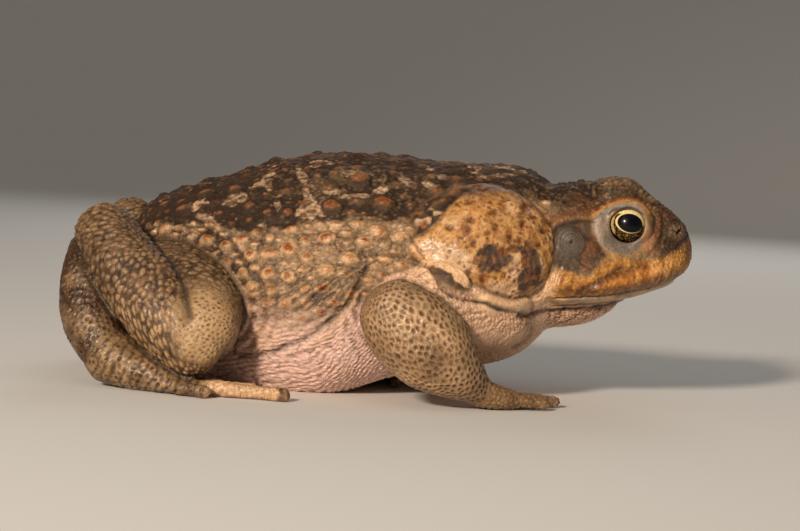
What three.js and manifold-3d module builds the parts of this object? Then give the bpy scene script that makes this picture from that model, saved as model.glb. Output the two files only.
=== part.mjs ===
// A resting cane toad, life size, millimetres. +X to the snout, +Y to its left side, +Z up.
// Sizes below are measured from the floor up; the whole is centred in the frame at the end.
import * as THREE from "three";
import { LoftGeometry } from "three/addons/geometries/LoftGeometry.js";
import { mergeVertices } from "three/addons/utils/BufferGeometryUtils.js";
import Module from "manifold-3d";

const wasm = await Module();
wasm.setup();

const GAP = 0.3; // free space between neighbouring pieces
const BEYOND = 100; // farther out than any part of the body
const MERGE_WITHIN = 1e-4;
const FULL_TURN = 2 * Math.PI;
const RIGHT = -1;
const LEFT = 1;

// Geometry to closed solid and back.

function solid(geometry) {
  const bare = new THREE.BufferGeometry();
  bare.setAttribute("position", geometry.getAttribute("position"));
  bare.setIndex(geometry.index);
  const merged = mergeVertices(bare, MERGE_WITHIN);
  const indices = merged.index.array;
  const vertices = merged.getAttribute("position").array;
  const kept = [];
  for (let i = 0; i < indices.length; i += 3) {
    const [a, b, c] = [indices[i], indices[i + 1], indices[i + 2]];
    if (a !== b && b !== c && c !== a) kept.push(a, b, c);
  }
  const mesh = new wasm.Mesh({
    numProp: 3,
    vertProperties: new Float32Array(vertices),
    triVerts: new Uint32Array(kept),
  });
  return new wasm.Manifold(mesh);
}

function geometryOf(body) {
  const mesh = body.getMesh();
  const geometry = new THREE.BufferGeometry();
  geometry.setAttribute("position", new THREE.Float32BufferAttribute(mesh.vertProperties, 3));
  geometry.setIndex(Array.from(mesh.triVerts));
  return geometry;
}

function largest(body) {
  const parts = body.decompose();
  parts.sort((a, b) => b.volume() - a.volume());
  return parts[0];
}

// The same body with its skin moved out along the normals.
function grown(body, by) {
  const geometry = geometryOf(body);
  geometry.computeVertexNormals();
  const at = geometry.getAttribute("position");
  const normal = geometry.getAttribute("normal");
  for (let i = 0; i < at.count; i++) {
    at.setXYZ(
      i,
      at.getX(i) + by * normal.getX(i),
      at.getY(i) + by * normal.getY(i),
      at.getZ(i) + by * normal.getZ(i),
    );
  }
  geometry.deleteAttribute("normal");
  return solid(geometry);
}

function box(low, high) {
  const size = new THREE.Vector3(...high).sub(new THREE.Vector3(...low));
  const middle = new THREE.Vector3(...low).addScaledVector(size, 0.5);
  return solid(new THREE.BoxGeometry(size.x, size.y, size.z).translate(middle.x, middle.y, middle.z));
}

// An ellipsoid: centre, half sizes along its own axes, facets, and the directions of its own Z and X.
function ball(centre, radii, facets, outward, forward = [1, 0, 0]) {
  const { around, rows } = facets;
  const geometry = new THREE.SphereGeometry(1, around, rows).rotateX(Math.PI / 2);
  geometry.scale(radii[0], radii[1], radii[2]);
  const z = new THREE.Vector3(...outward).normalize();
  const y = new THREE.Vector3().crossVectors(z, new THREE.Vector3(...forward)).normalize();
  const x = new THREE.Vector3().crossVectors(y, z);
  geometry.applyMatrix4(new THREE.Matrix4().makeBasis(x, y, z));
  geometry.translate(centre[0], centre[1], centre[2]);
  return solid(geometry);
}

// Smooth curves through rows of numbers: the first of each row is the station, the rest the values there.
function lines(rows) {
  const stations = rows.map((row) => row[0]);
  const width = rows[0].length - 1;
  const values = rows.flatMap((row) => row.slice(1));
  const curve = new THREE.CubicInterpolant(stations, values, width);
  return (x) => Array.from(curve.evaluate(x));
}

// Points of a closed section through its corners, which run from the top over the right side and back.
function sectionCurve(x, half) {
  const right = half.map(([y, z]) => new THREE.Vector3(x, -y, z));
  const left = half.slice(1, -1).map(([y, z]) => new THREE.Vector3(x, y, z));
  return new THREE.CatmullRomCurve3([...right, ...left.reverse()], true, "centripetal");
}

function section(x, half, around) {
  return sectionCurve(x, half).getPoints(around).slice(0, around);
}

// A limb part: path points, each with its two half widths. The first half width lies across the given
// reference direction, the second one roughly along it. Both ends are rounded.
const LIMB_SHAPE = { around: 12, rings: 7, upright: [0, 0, 1], ends: [0.8, 0.8], capSteps: [0.95, 0.6] };

function limb(rows, shape = {}) {
  const { around, rings, upright, ends, capSteps } = { ...LIMB_SHAPE, ...shape };
  const centres = rows.map(([x, y, z]) => new THREE.Vector3(x, y, z));
  const path = new THREE.CatmullRomCurve3(centres, false, "centripetal");
  const widths = new THREE.CatmullRomCurve3(rows.map((row) => new THREE.Vector3(row[3], row[4], 0)));
  const reference = new THREE.Vector3(...upright).normalize();
  const sections = [];
  const ring = (centre, tangent, wide, high) => {
    const side = new THREE.Vector3().crossVectors(reference, tangent).normalize();
    const up = new THREE.Vector3().crossVectors(tangent, side);
    const points = [];
    for (let i = 0; i < around; i++) {
      const angle = (FULL_TURN * i) / around;
      points.push(
        centre
          .clone()
          .addScaledVector(side, wide * Math.cos(angle))
          .addScaledVector(up, high * Math.sin(angle)),
      );
    }
    sections.push(points);
  };
  const place = (t) => [path.getPoint(t), path.getTangent(t), widths.getPoint(t)];
  const cap = (t, way, step) => {
    const [centre, tangent, width] = place(t);
    const reach = way * ends[t] * Math.min(width.x, width.y) * step;
    const shrink = Math.sqrt(1 - step * step);
    ring(centre.addScaledVector(tangent, reach), tangent, width.x * shrink, width.y * shrink);
  };
  for (const step of capSteps) cap(0, -1, step);
  for (let i = 0; i <= rings; i++) {
    const [centre, tangent, width] = place(i / rings);
    ring(centre, tangent, width.x, width.y);
  }
  for (const step of [...capSteps].reverse()) cap(1, 1, step);
  return solid(new LoftGeometry(sections, { capStart: true, capEnd: true }));
}

// The torso, from the vent to the neck. Each row: station, top height, then the half width and height of
// the back's shoulder line, of the flank and of the belly's edge, and the height under the middle.
const TORSO_ROWS = [
  [-68, 38.5, 3, 36.5, 4, 34.5, 3, 31.5, 31],
  [-66, 43, 8, 40, 12, 33, 6, 24, 22],
  [-62, 46.8, 12.5, 43, 20, 31.5, 11, 17, 14],
  [-54, 50.4, 18, 45.5, 29, 31, 18, 8, 4],
  [-44, 53.8, 21, 48, 34.5, 28, 23, 4, 0],
  [-28, 59.6, 25.5, 51, 40, 25, 29, 2.2, -1.5],
  [-12, 62.4, 28, 53, 42, 24, 30, 2.2, -1.2],
  [4, 61.8, 27, 53.5, 40, 25, 27, 7, 5.5],
  [18, 61.4, 25, 54, 35, 27, 23, 9.5, 7.5],
  [30, 61.8, 22.5, 54.5, 30, 30, 20, 12, 9],
  [38, 61, 20, 53.5, 27.5, 33, 18, 15, 12.5],
  [46, 55.6, 16, 52, 26, 35, 15, 23, 21],
];
const NECK_X = 43;
const torsoAt = lines(TORSO_ROWS);

function torsoCorners(x) {
  const [top, yBack, zBack, yFlank, zFlank, yEdge, zEdge, low] = torsoAt(x);
  return [[0, top], [yBack, zBack], [yFlank, zFlank], [yEdge, zEdge], [0, low]];
}

const TORSO_AROUND = 28;
const torsoStations = [-68, -66, -64, -61, -57, -52, -46, -40, -34, -28];
torsoStations.push(-22, -16, -10, -4, 2, 8, 14, 20, 26, 32, 38, 42, 45.5);
const torsoLoft = new LoftGeometry(
  torsoStations.map((x) => section(x, torsoCorners(x), TORSO_AROUND)),
  { capStart: true, capEnd: true },
);

// Warts: low flat domes sunk in the skin. Each row: station, way round the section (0 at the spine,
// a quarter at the flank), the radius along the body, the radius across it.
const WART_HEIGHT = 1.1;
const WART_SINK = 0.35;
const THIGH_FRONT_X = -44;
const ABOVE_THIGH_WAY = 0.12;
const ROUND_THE_SKIN = 150; // length of a section's outline
const WART_CLEARANCE = 0.8;
const LEFT_WARTS_AHEAD = 2;
const BIG_WARTS = [
  [-2, 0.105, 4.3, 3.2],
  [-17, 0.1, 3.8, 3],
  [12, 0.1, 3, 2.6],
  [-29, 0.155, 3, 2.6],
  [-9, 0.045, 3, 2.6],
  [-27, 0.06, 3.2, 2.6],
  [-40, 0.1, 2.6, 2.2],
  [5, 0.05, 3, 2.4],
  [20, 0.055, 3, 2.4],
  [-50, 0.06, 2.6, 2.2],
];
const SMALL_WARTS = {
  from: -58,
  to: 14,
  step: 9,
  ways: [0.02, 0.075, 0.13, 0.185],
  strayAlong: 5,
  strayRound: 0.03,
  radius: 1.84,
  radiusSpread: 1.15,
  narrower: 0.85,
};
const WART_FACETS = { around: 7, rows: 4 };
const WAY_STEP = 0.004;

function wartOn(x, way, long, wide) {
  const curve = sectionCurve(x, torsoCorners(x));
  const at = curve.getPoint((way + 1) % 1);
  const ahead = sectionCurve(x + 1, torsoCorners(x + 1)).getPoint((way + 1) % 1);
  const round = curve.getPoint((way + 1 + WAY_STEP) % 1).sub(at);
  const along = ahead.sub(at);
  const normal = new THREE.Vector3().crossVectors(along, round).normalize();
  const base = at.addScaledVector(normal, -WART_SINK);
  const radii = [long, wide, WART_HEIGHT + WART_SINK];
  return ball(base.toArray(), radii, WART_FACETS, normal.toArray(), along.toArray());
}

// Even numbers between 0 and 1 in an order that is always the same.
const ORDER_FACTOR = 16807;
const ORDER_LIMIT = 2147483647;
let seed = 7;
function chance() {
  seed = (seed * ORDER_FACTOR) % ORDER_LIMIT;
  return seed / ORDER_LIMIT;
}

function warts() {
  const found = [];
  const free = (x, way, reach) =>
    found.every(([ox, oWay, oReach]) => {
      const apart = Math.hypot(x - ox, (way - oWay) * ROUND_THE_SKIN);
      return apart > reach + oReach + WART_CLEARANCE;
    });
  for (const side of [1, -1]) {
    const ahead = side === 1 ? 0 : LEFT_WARTS_AHEAD;
    for (const [x, way, long, wide] of BIG_WARTS) found.push([x + ahead, side * way, long, wide]);
    for (let x = SMALL_WARTS.from; x < SMALL_WARTS.to; x += SMALL_WARTS.step) {
      for (const way of SMALL_WARTS.ways) {
        const atX = x + SMALL_WARTS.strayAlong * (chance() - 0.5);
        const atWay = side * (way + SMALL_WARTS.strayRound * (chance() - 0.5));
        const radius = SMALL_WARTS.radius + SMALL_WARTS.radiusSpread * chance();
        const onThigh = atX < THIGH_FRONT_X && Math.abs(atWay) > ABOVE_THIGH_WAY;
        if (onThigh || !free(atX, atWay, radius)) continue;
        found.push([atX, atWay, radius, radius * SMALL_WARTS.narrower]);
      }
    }
  }
  return found.map((row) => wartOn(...row));
}

// The head above the mouth. Each row: station, crown height, then half width and height of the bony
// crest, of the cheek, of the lip's swell and of the lip's lower edge.
const HEAD_ROWS = [
  [40, 58.8, 18, 54.8, 27, 42.5, 28, 33.2, 25, 28.4],
  [46, 56, 15, 56.4, 27, 43.5, 28.5, 32.2, 26.5, 28.6],
  [52, 55.2, 13, 58.5, 24.5, 44.3, 27.5, 32.4, 26, 29.3],
  [58, 55.2, 12.4, 59.6, 21, 45, 26.2, 33, 24.7, 30.1],
  [62, 55.2, 12.4, 60.3, 19.5, 45.5, 24.4, 33.7, 23.1, 30.8],
  [66, 54.7, 11.8, 58.4, 18, 45.5, 22.3, 34.5, 21.1, 31.6],
  [70, 53.8, 10.7, 55.2, 16.3, 45, 19.6, 35.5, 18.5, 32.5],
  [74.3, 51.8, 9.4, 52.6, 14, 43.8, 16, 36.6, 15, 33.8],
  [78.2, 48.8, 7.6, 49.2, 10.6, 42, 11.2, 37.8, 10.2, 35.3],
  [80.9, 45.4, 5.2, 45.8, 6.6, 41.4, 6.6, 38.9, 5.6, 36.5],
  [82.3, 42.2, 2.2, 42, 2.9, 40.9, 2.9, 39.8, 2.2, 38.7],
];
const PALATE_RISE = 1;
const headAt = lines(HEAD_ROWS);

function headCorners(x) {
  const [crown, yCrest, zCrest, yCheek, zCheek, yLip, zLip, yEdge, zEdge] = headAt(x);
  const palate = [0, zEdge + PALATE_RISE];
  return [[0, crown], [yCrest, zCrest], [yCheek, zCheek], [yLip, zLip], [yEdge, zEdge], palate];
}

const HEAD_AROUND = 28;
const headStations = [40, 44, 48, 52, 55, 58, 61, 64, 67, 70, 72.5, 75, 77.2, 79.2, 80.7, 81.7, 82.3];
const headLoft = new LoftGeometry(
  headStations.map((x) => section(x, headCorners(x), HEAD_AROUND)),
  { capStart: true, capEnd: true },
);

// The lower jaw, a thin plate under the lip's edge, a little shorter than the upper one.
const JAW_IN = 0.5;
const JAW_THICK = 1.7;
const JAW_START = 41;
const JAW_SHORTER = 1.085;
const JAW_LEAST_HALF = 1;
const JAW_AROUND = 16;
const jawStations = [41, 45, 49, 53, 57, 61, 65, 68, 71, 73.5, 75.5, 77.2, 78.5];
function jawCorners(x) {
  const zEdge = headAt(x)[8];
  const yEdge = headAt(JAW_START + (x - JAW_START) * JAW_SHORTER)[7];
  const half = Math.max(yEdge - JAW_IN, JAW_LEAST_HALF);
  return [
    [0, zEdge + PALATE_RISE],
    [half * 0.9, zEdge - 0.2],
    [half, zEdge - JAW_THICK * 0.5],
    [half * 0.88, zEdge - JAW_THICK],
    [0, zEdge - JAW_THICK - 0.6],
  ];
}
const jawLoft = new LoftGeometry(
  jawStations.map((x) => section(x, jawCorners(x), JAW_AROUND)),
  { capStart: true, capEnd: true },
);

// The throat skin that hangs between the halves of the jaw. Each row: station, half width, lowest height.
const THROAT_ROWS = [
  [40, 22, 18.6],
  [46, 22, 19.2],
  [52, 21, 20.1],
  [57, 18, 21.6],
  [61.5, 14, 24.6],
  [65, 9, 28.2],
];
const throatAt = lines(THROAT_ROWS);
const THROAT_FULLNESS = 0.35;
const THROAT_AROUND = 14;
const throatStations = [40, 43, 46, 49, 52, 55, 57.5, 60, 62, 63.5, 65];
function throatCorners(x) {
  const [half, low] = throatAt(x);
  const top = headAt(x)[8];
  return [[0, top], [half, top - 1], [half * 0.8, low + THROAT_FULLNESS * (top - 1 - low)], [0, low]];
}
const throatLoft = new LoftGeometry(
  throatStations.map((x) => section(x, throatCorners(x), THROAT_AROUND)),
  { capStart: true, capEnd: true },
);

// Eyes, lids, ear drums and glands. Centres are given for the left side.
const EYE = { centre: [63.2, 15.8, 48.3], radius: 5.5, gaze: [0.1, 0.98, 0.1] };
const LID = { thick: 0.9, long: 5.1, high: 5.3, shift: [-0.8, 0, -0.6] };
const EAR = { centre: [48.1, 26.3, 43.2], radius: 3.3, thick: 1.1, outward: [0.2, 0.97, 0.08] };
const EYE_FACETS = { around: 14, rows: 8 };
const EAR_FACETS = { around: 12, rows: 6 };
const NOSTRIL_FACETS = { around: 8, rows: 6 };
const NOSTRIL = { centre: [77.2, 9.9, 46.9], radii: [1.3, 0.9, 1.5] };
const GLAND = {
  centre: [25, 28.8, 42.2],
  radii: [20, 15.8, 9],
  outward: [0.23, 0.88, 0.42],
  rearTaper: 0.36,
  around: 18,
  rows: 10,
};

const mirrored = (point, side) => [point[0], side * point[1], point[2]];

function eye(side, more = 0) {
  const radius = EYE.radius + more;
  return ball(mirrored(EYE.centre, side), [radius, radius, radius], EYE_FACETS, mirrored(EYE.gaze, side));
}

function lidOpening(side) {
  const outward = new THREE.Vector3(...mirrored(EYE.gaze, side)).normalize();
  const centre = new THREE.Vector3(...mirrored(EYE.centre, side)).addScaledVector(outward, EYE.radius);
  centre.add(new THREE.Vector3(...LID.shift));
  return ball(centre.toArray(), [LID.long, LID.high, EYE.radius], EYE_FACETS, outward.toArray());
}

function earDrum(side, more = 0) {
  const radius = EAR.radius + more;
  const radii = [radius, radius, EAR.thick + more];
  return ball(mirrored(EAR.centre, side), radii, EAR_FACETS, mirrored(EAR.outward, side));
}

function gland(side) {
  const geometry = new THREE.SphereGeometry(1, GLAND.around, GLAND.rows).rotateX(Math.PI / 2);
  const at = geometry.getAttribute("position");
  for (let i = 0; i < at.count; i++) {
    const rear = Math.max(0, -at.getX(i));
    const narrow = 1 - GLAND.rearTaper * rear * rear;
    at.setXYZ(i, at.getX(i), at.getY(i) * narrow, at.getZ(i) * narrow);
  }
  geometry.scale(...GLAND.radii);
  const z = new THREE.Vector3(...mirrored(GLAND.outward, side)).normalize();
  const y = new THREE.Vector3().crossVectors(z, new THREE.Vector3(1, 0, 0)).normalize();
  const x = new THREE.Vector3().crossVectors(y, z);
  geometry.applyMatrix4(new THREE.Matrix4().makeBasis(x, y, z));
  geometry.translate(...mirrored(GLAND.centre, side));
  return solid(geometry);
}

// Limbs. Path rows: x, y, z, half width across, half width along the reference; y as on the left side.
const THIGH = [
  [-56, 14, 29, 10.5, 9.5],
  [-52, 27, 26, 12.5, 11.5],
  [-46.5, 39, 21, 12, 11],
  [-43.5, 47, 16.5, 9, 9.5],
];
const SHANK = [
  [-45, 48.5, 11.5, 7.5, 8.5],
  [-52, 46.5, 17.5, 8.8, 9.6],
  [-61, 40.5, 26, 8.8, 9.6],
  [-69, 33, 34.2, 8.2, 8.8],
  [-73.2, 27.5, 39.6, 7, 8],
];
const TARSUS = [
  [-75, 25.5, 36.2, 5.5, 6],
  [-75.8, 30, 27, 6.8, 7],
  [-74.2, 35.5, 17, 7, 7.4],
  [-69.5, 40, 10, 6, 7],
];
const INSTEP = [
  [-68.5, 40.5, 8, 6.5, 7],
  [-60, 43.5, 5.2, 7.2, 5.4],
  [-50, 46, 3, 6.5, 3.6],
];
// Toes, from the fifth (outer) to the first. Each: root, then the tip.
const TOES = [
  { root: [-55, 50], tip: [-42, 55.5], thick: 1.9 },
  { root: [-51, 49.5], tip: [-22.5, 52], thick: 2.1 },
  { root: [-51, 46], tip: [-31, 42.5], thick: 1.9 },
  { root: [-53, 43], tip: [-40, 35.5], thick: 1.8 },
  { root: [-56, 40], tip: [-48.5, 32.5], thick: 1.7 },
];
const UPPER_ARM_RIGHT = [
  [31, 24, 23, 9, 10],
  [22, 31, 24, 10, 10.5],
  [12, 39, 25, 9.5, 10],
  [5, 44, 24, 8.5, 9.5],
];
const FOREARM_RIGHT = [
  [2.8, 46.5, 24.5, 8.5, 9.5],
  [8, 47.2, 19.5, 9.8, 11.4],
  [14, 47, 14.5, 9.8, 11],
  [20, 45.5, 9.6, 8, 7.8],
  [26, 43, 5, 4, 3.8],
];
const PALM_RIGHT = [
  [26.5, 42.5, 4.2, 4, 3.5],
  [31, 39.5, 3, 5, 3],
  [34.5, 36.5, 2.4, 4.6, 2.4],
];
// Fingers, from the first (inner) to the fourth.
const FINGERS_RIGHT = [
  { root: [32.5, 34], tip: [35, 22.5], thick: 1.6 },
  { root: [34.5, 34.5], tip: [42.5, 22.5], thick: 1.6 },
  { root: [36, 37], tip: [46.5, 28], thick: 1.7 },
  { root: [34.5, 40.5], tip: [43.5, 37], thick: 1.5 },
];
const UPPER_ARM_LEFT = [
  [31, 24, 23, 9, 10],
  [20, 32, 24, 10, 10.5],
  [8, 40, 25, 9.5, 10],
  [0, 45, 24, 8.5, 9.5],
];
const FOREARM_LEFT = [
  [-2, 46, 24, 8.5, 9.5],
  [0, 43, 19, 9.5, 11],
  [3.5, 37, 14, 9, 10],
  [6, 29.5, 9, 6.5, 7],
  [7, 23, 5.5, 4, 3.8],
];
const PALM_LEFT = [
  [7, 21.5, 4.5, 4, 3.4],
  [6, 16.5, 3, 5, 2.9],
  [5, 12.5, 2.4, 4.6, 2.4],
];
const FINGERS_LEFT = [
  { root: [1.5, 13.5], tip: [-8, 9], thick: 1.6 },
  { root: [3, 11], tip: [-4.5, -0.5], thick: 1.6 },
  { root: [5.5, 10.5], tip: [5, -3.5], thick: 1.7 },
  { root: [8, 12.5], tip: [13.5, 1], thick: 1.5 },
];

function onSide(rows, side) {
  return rows.map(([x, y, ...rest]) => [x, side * y, ...rest]);
}

// Toes and fingers: swellings at the joints, and the height of the middle line over the ground.
const DIGIT_SWELL = [1.05, 0.85, 1.02, 0.82, 1];
const DIGIT_LIFT = [0.6, 1.1, 0.5, 0.4, -0.1];
const DIGIT_HEIGHT = 1.7;
const DIGIT_FLATNESS = 0.95;
const DIGIT_SHAPE = { around: 6, rings: 4, ends: [0.5, 0.9], capSteps: [0.75] };

function digit({ root, tip, thick }, side) {
  const rows = DIGIT_SWELL.map((swell, i) => {
    const t = i / (DIGIT_SWELL.length - 1);
    const x = root[0] + (tip[0] - root[0]) * t;
    const y = side * (root[1] + (tip[1] - root[1]) * t);
    const z = DIGIT_HEIGHT + DIGIT_LIFT[i] * (1 - t * 0.5);
    return [x, y, z, thick * swell, thick * swell * DIGIT_FLATNESS];
  });
  return limb(rows, DIGIT_SHAPE);
}

// A flat web between two neighbouring digits, from their roots to a part of their length.
const WEB = { thick: 0.9, above: 1, reach: 0.5, indent: 0.3 };

function web(first, second, side) {
  const point = ({ root, tip }, t) => {
    return [root[0] + (tip[0] - root[0]) * t, side * (root[1] + (tip[1] - root[1]) * t)];
  };
  const shape = new THREE.Shape();
  const corners = [point(first, 0), point(first, WEB.reach), point(second, WEB.reach), point(second, 0)];
  const middle = corners[1].map((v, i) => (v + corners[2][i]) / 2);
  const inner = middle.map((v, i) => v + WEB.indent * ((corners[0][i] + corners[3][i]) / 2 - v));
  shape.moveTo(...corners[0]);
  shape.lineTo(...corners[1]);
  shape.quadraticCurveTo(...inner, ...corners[2]);
  shape.lineTo(...corners[3]);
  shape.closePath();
  const settings = { depth: WEB.thick, bevelEnabled: false, curveSegments: 2 };
  const plate = new THREE.ExtrudeGeometry(shape, settings);
  return solid(plate.translate(0, 0, WEB.above));
}

const underFloor = box([-BEYOND, -BEYOND, -BEYOND], [BEYOND, BEYOND, 0]);
const PALM_SHAPE = { around: 10, rings: 4 };
const FOREARM_SHAPE = { around: 14, rings: 8 };

function foot(side) {
  let body = limb(onSide(INSTEP, side), PALM_SHAPE);
  for (const toe of TOES) body = body.add(digit(toe, side));
  for (let i = 0; i + 1 < TOES.length; i++) body = body.add(web(TOES[i], TOES[i + 1], side));
  return body;
}

function hand(palm, fingers, side) {
  let body = limb(onSide(palm, side), PALM_SHAPE);
  for (const finger of fingers) body = body.add(digit(finger, side));
  return body;
}

// Every piece in the order in which it takes its room; a later one stands back from all before it.
const made = new Map();
let taken = null;
function put(name, body, { fitted = false, room = body } = {}) {
  let own = body.subtract(underFloor);
  if (!fitted) own = own.subtract(taken);
  made.set(name, largest(own));
  taken = taken ? taken.add(grown(room, GAP)) : grown(room, GAP);
}

const aheadOfNeck = box([NECK_X, -BEYOND, -BEYOND], [BEYOND, BEYOND, BEYOND]);
const behindNeck = box([-BEYOND, -BEYOND, -BEYOND], [NECK_X + GAP, BEYOND, BEYOND]);

const smoothTorso = solid(torsoLoft).subtract(aheadOfNeck);
let torso = smoothTorso;
for (const wart of warts()) torso = torso.add(wart);
for (const side of [RIGHT, LEFT]) torso = torso.subtract(grown(gland(side), GAP));
put("torso", torso, { fitted: true, room: smoothTorso });

let head = solid(headLoft);
for (const side of [RIGHT, LEFT]) {
  const reach = EYE.radius + GAP + LID.thick;
  const centre = mirrored(EYE.centre, side);
  head = head.add(ball(centre, [reach, reach, reach], EYE_FACETS, mirrored(EYE.gaze, side)));
}
for (const side of [RIGHT, LEFT]) {
  head = head.subtract(eye(side, GAP)).subtract(lidOpening(side)).subtract(earDrum(side, GAP));
  const nostril = ball(mirrored(NOSTRIL.centre, side), NOSTRIL.radii, NOSTRIL_FACETS, [0, side, 0]);
  head = head.subtract(nostril);
  head = head.subtract(grown(gland(side), GAP));
}
head = head.subtract(behindNeck);
put("head", head, { fitted: true, room: solid(headLoft).subtract(behindNeck) });
put("lower_jaw", solid(jawLoft).subtract(behindNeck));
put("throat", solid(throatLoft).subtract(behindNeck));
for (const [side, word] of [[RIGHT, "right"], [LEFT, "left"]]) {
  put(`eye_${word}`, eye(side), { fitted: true });
  put(`tympanum_${word}`, earDrum(side), { fitted: true });
  put(`parotoid_${word}`, gland(side), { fitted: true });
  const isRight = side === RIGHT;
  const upperArm = isRight ? UPPER_ARM_RIGHT : UPPER_ARM_LEFT;
  const forearm = isRight ? FOREARM_RIGHT : FOREARM_LEFT;
  const [palm, fingers] = isRight ? [PALM_RIGHT, FINGERS_RIGHT] : [PALM_LEFT, FINGERS_LEFT];
  put(`upper_arm_${word}`, limb(onSide(upperArm, side)));
  put(`forearm_${word}`, limb(onSide(forearm, side), FOREARM_SHAPE));
  put(`hand_${word}`, hand(palm, fingers, side));
  put(`thigh_${word}`, limb(onSide(THIGH, side)));
  put(`shank_${word}`, limb(onSide(SHANK, side), { upright: [1, 0, 1] }));
  put(`tarsus_${word}`, limb(onSide(TARSUS, side), { upright: [1, 0, 0] }));
  put(`foot_${word}`, foot(side));
}

const COLOURS = {
  torso: 0x8a6a4a,
  head: 0xa07a50,
  lower_jaw: 0xb89468,
  throat: 0xb8a080,
  eye: 0x1a1408,
  tympanum: 0x6c6048,
  parotoid: 0xc98f4e,
  limb: 0x84704e,
  tips: 0x8c7a5c,
};
function colourOf(name) {
  const known = Object.keys(COLOURS).find((key) => name.startsWith(key));
  if (known) return COLOURS[known];
  return /^(hand|foot)/.test(name) ? COLOURS.tips : COLOURS.limb;
}

const SKIN_ROUGHNESS = 0.6;
const toad = new THREE.Group();
toad.name = "cane_toad";
const bounds = new THREE.Box3();
for (const [name, body] of made) {
  const material = new THREE.MeshStandardMaterial({ color: colourOf(name), roughness: SKIN_ROUGHNESS });
  material.name = `${name}_skin`;
  const mesh = new THREE.Mesh(geometryOf(body), material);
  mesh.name = name;
  mesh.geometry.computeBoundingBox();
  bounds.union(mesh.geometry.boundingBox);
  toad.add(mesh);
}
const centre = bounds.getCenter(new THREE.Vector3());
for (const mesh of toad.children) mesh.geometry.translate(-centre.x, -centre.y, -bounds.min.z);

export default toad;
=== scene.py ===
import math

import bmesh
import bpy
import numpy as np
from mathutils import Matrix, Vector
from mathutils.bvhtree import BVHTree
from mathutils.kdtree import KDTree


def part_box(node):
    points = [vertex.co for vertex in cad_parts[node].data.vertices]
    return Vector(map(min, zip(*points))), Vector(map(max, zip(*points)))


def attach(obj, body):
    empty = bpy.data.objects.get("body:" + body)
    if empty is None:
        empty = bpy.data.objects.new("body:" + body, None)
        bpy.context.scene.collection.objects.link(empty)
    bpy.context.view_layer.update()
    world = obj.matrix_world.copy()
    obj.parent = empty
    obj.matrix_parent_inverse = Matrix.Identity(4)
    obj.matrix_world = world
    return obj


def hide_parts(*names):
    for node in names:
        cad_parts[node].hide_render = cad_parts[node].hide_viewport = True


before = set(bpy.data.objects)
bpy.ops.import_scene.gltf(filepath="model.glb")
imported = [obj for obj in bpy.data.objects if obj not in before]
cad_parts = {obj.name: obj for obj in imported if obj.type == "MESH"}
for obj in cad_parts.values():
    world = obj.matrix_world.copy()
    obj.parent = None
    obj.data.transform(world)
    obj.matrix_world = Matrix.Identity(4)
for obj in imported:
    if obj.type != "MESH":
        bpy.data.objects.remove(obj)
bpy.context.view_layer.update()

# A resting cane toad. Lengths are in millimetres in the drawing's own frame until a mesh is made:
# +X to the snout, +Y to its left side, +Z up, floor at zero.
MM = 0.001
EYE_CENTRE = (63.2, 15.8, 48.3)
EYE_RADIUS = 5.5
eye_low, eye_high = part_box("eye_left")
DRAWN = np.array(EYE_CENTRE) - np.array((eye_low + eye_high) / 2) / MM


def in_frame(points):
    """Drawing millimetres to metres in the model's frame."""
    return (np.asarray(points, dtype=float) - DRAWN) * MM


# The camera of the photograph.
PHOTO_WIDE, PHOTO_HIGH = 800, 531
FOCAL = 2407.0
SENSOR = 36.0
AIM = np.array([4.3, 0.0, 33.0])
DISTANCE = 650.0
LIFT = math.radians(3.0)
ROLL = math.radians(3.5)
CAMERA_BACK = np.array([0.0, -math.cos(LIFT), math.sin(LIFT)])
LEVEL_RIGHT = np.array([1.0, 0.0, 0.0])
LEVEL_UP = np.cross(CAMERA_BACK, LEVEL_RIGHT)
CAMERA_RIGHT = LEVEL_RIGHT * math.cos(ROLL) + LEVEL_UP * math.sin(ROLL)
CAMERA_UP = LEVEL_UP * math.cos(ROLL) - LEVEL_RIGHT * math.sin(ROLL)
CAMERA_AT = AIM + DISTANCE * CAMERA_BACK


def picture_place(points):
    """Where points appear in the photograph, in its pixels; the left half is folded over to the right."""
    folded = points * 1.0
    folded[:, 1] = -np.abs(folded[:, 1])
    sight = folded - CAMERA_AT
    depth = -(sight @ CAMERA_BACK)
    across = PHOTO_WIDE / 2 + FOCAL * (sight @ CAMERA_RIGHT) / depth
    down = PHOTO_HIGH / 2 - FOCAL * (sight @ CAMERA_UP) / depth
    return across, down


# Fields over points, and helpers for numbers.

def step(low, high, values):
    """Smooth step from 0 at low to 1 at high."""
    t = np.clip((values - low) / (high - low), 0, 1)
    return t * t * (3 - 2 * t)


LATTICE = 64
lattice = np.random.default_rng(7).uniform(-1, 1, LATTICE**3).astype(np.float32)


def noise(points, size, seed, octaves=2):
    """Soft random field between -1 and 1 that changes over about size mm."""
    total = np.zeros(len(points), np.float32)
    weight = 1.0
    for octave in range(octaves):
        place = (points / (size / 2**octave) + 611.7 + 17.3 * seed).astype(np.float32)
        cell = np.floor(place)
        t = place - cell
        t = t * t * (3 - 2 * t)
        cell = (cell.astype(np.int32) + 5 * seed + 23 * octave) & (LATTICE - 1)
        near = [cell[:, i] * LATTICE**i for i in range(3)]
        far = [((cell[:, i] + 1) & (LATTICE - 1)) * LATTICE**i for i in range(3)]
        layers = []
        for k in (near[2], far[2]):
            rows = []
            for j in (near[1], far[1]):
                low, high = lattice[near[0] + j + k], lattice[far[0] + j + k]
                rows.append(low + t[:, 0] * (high - low))
            layers.append(rows[0] + t[:, 1] * (rows[1] - rows[0]))
        total += weight * (layers[0] + t[:, 2] * (layers[1] - layers[0]))
        weight *= 0.5
    return total / (2 - weight * 2)


def field(size, seed):
    """The random field at the skin's points."""
    return noise(points, size, seed)


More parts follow.
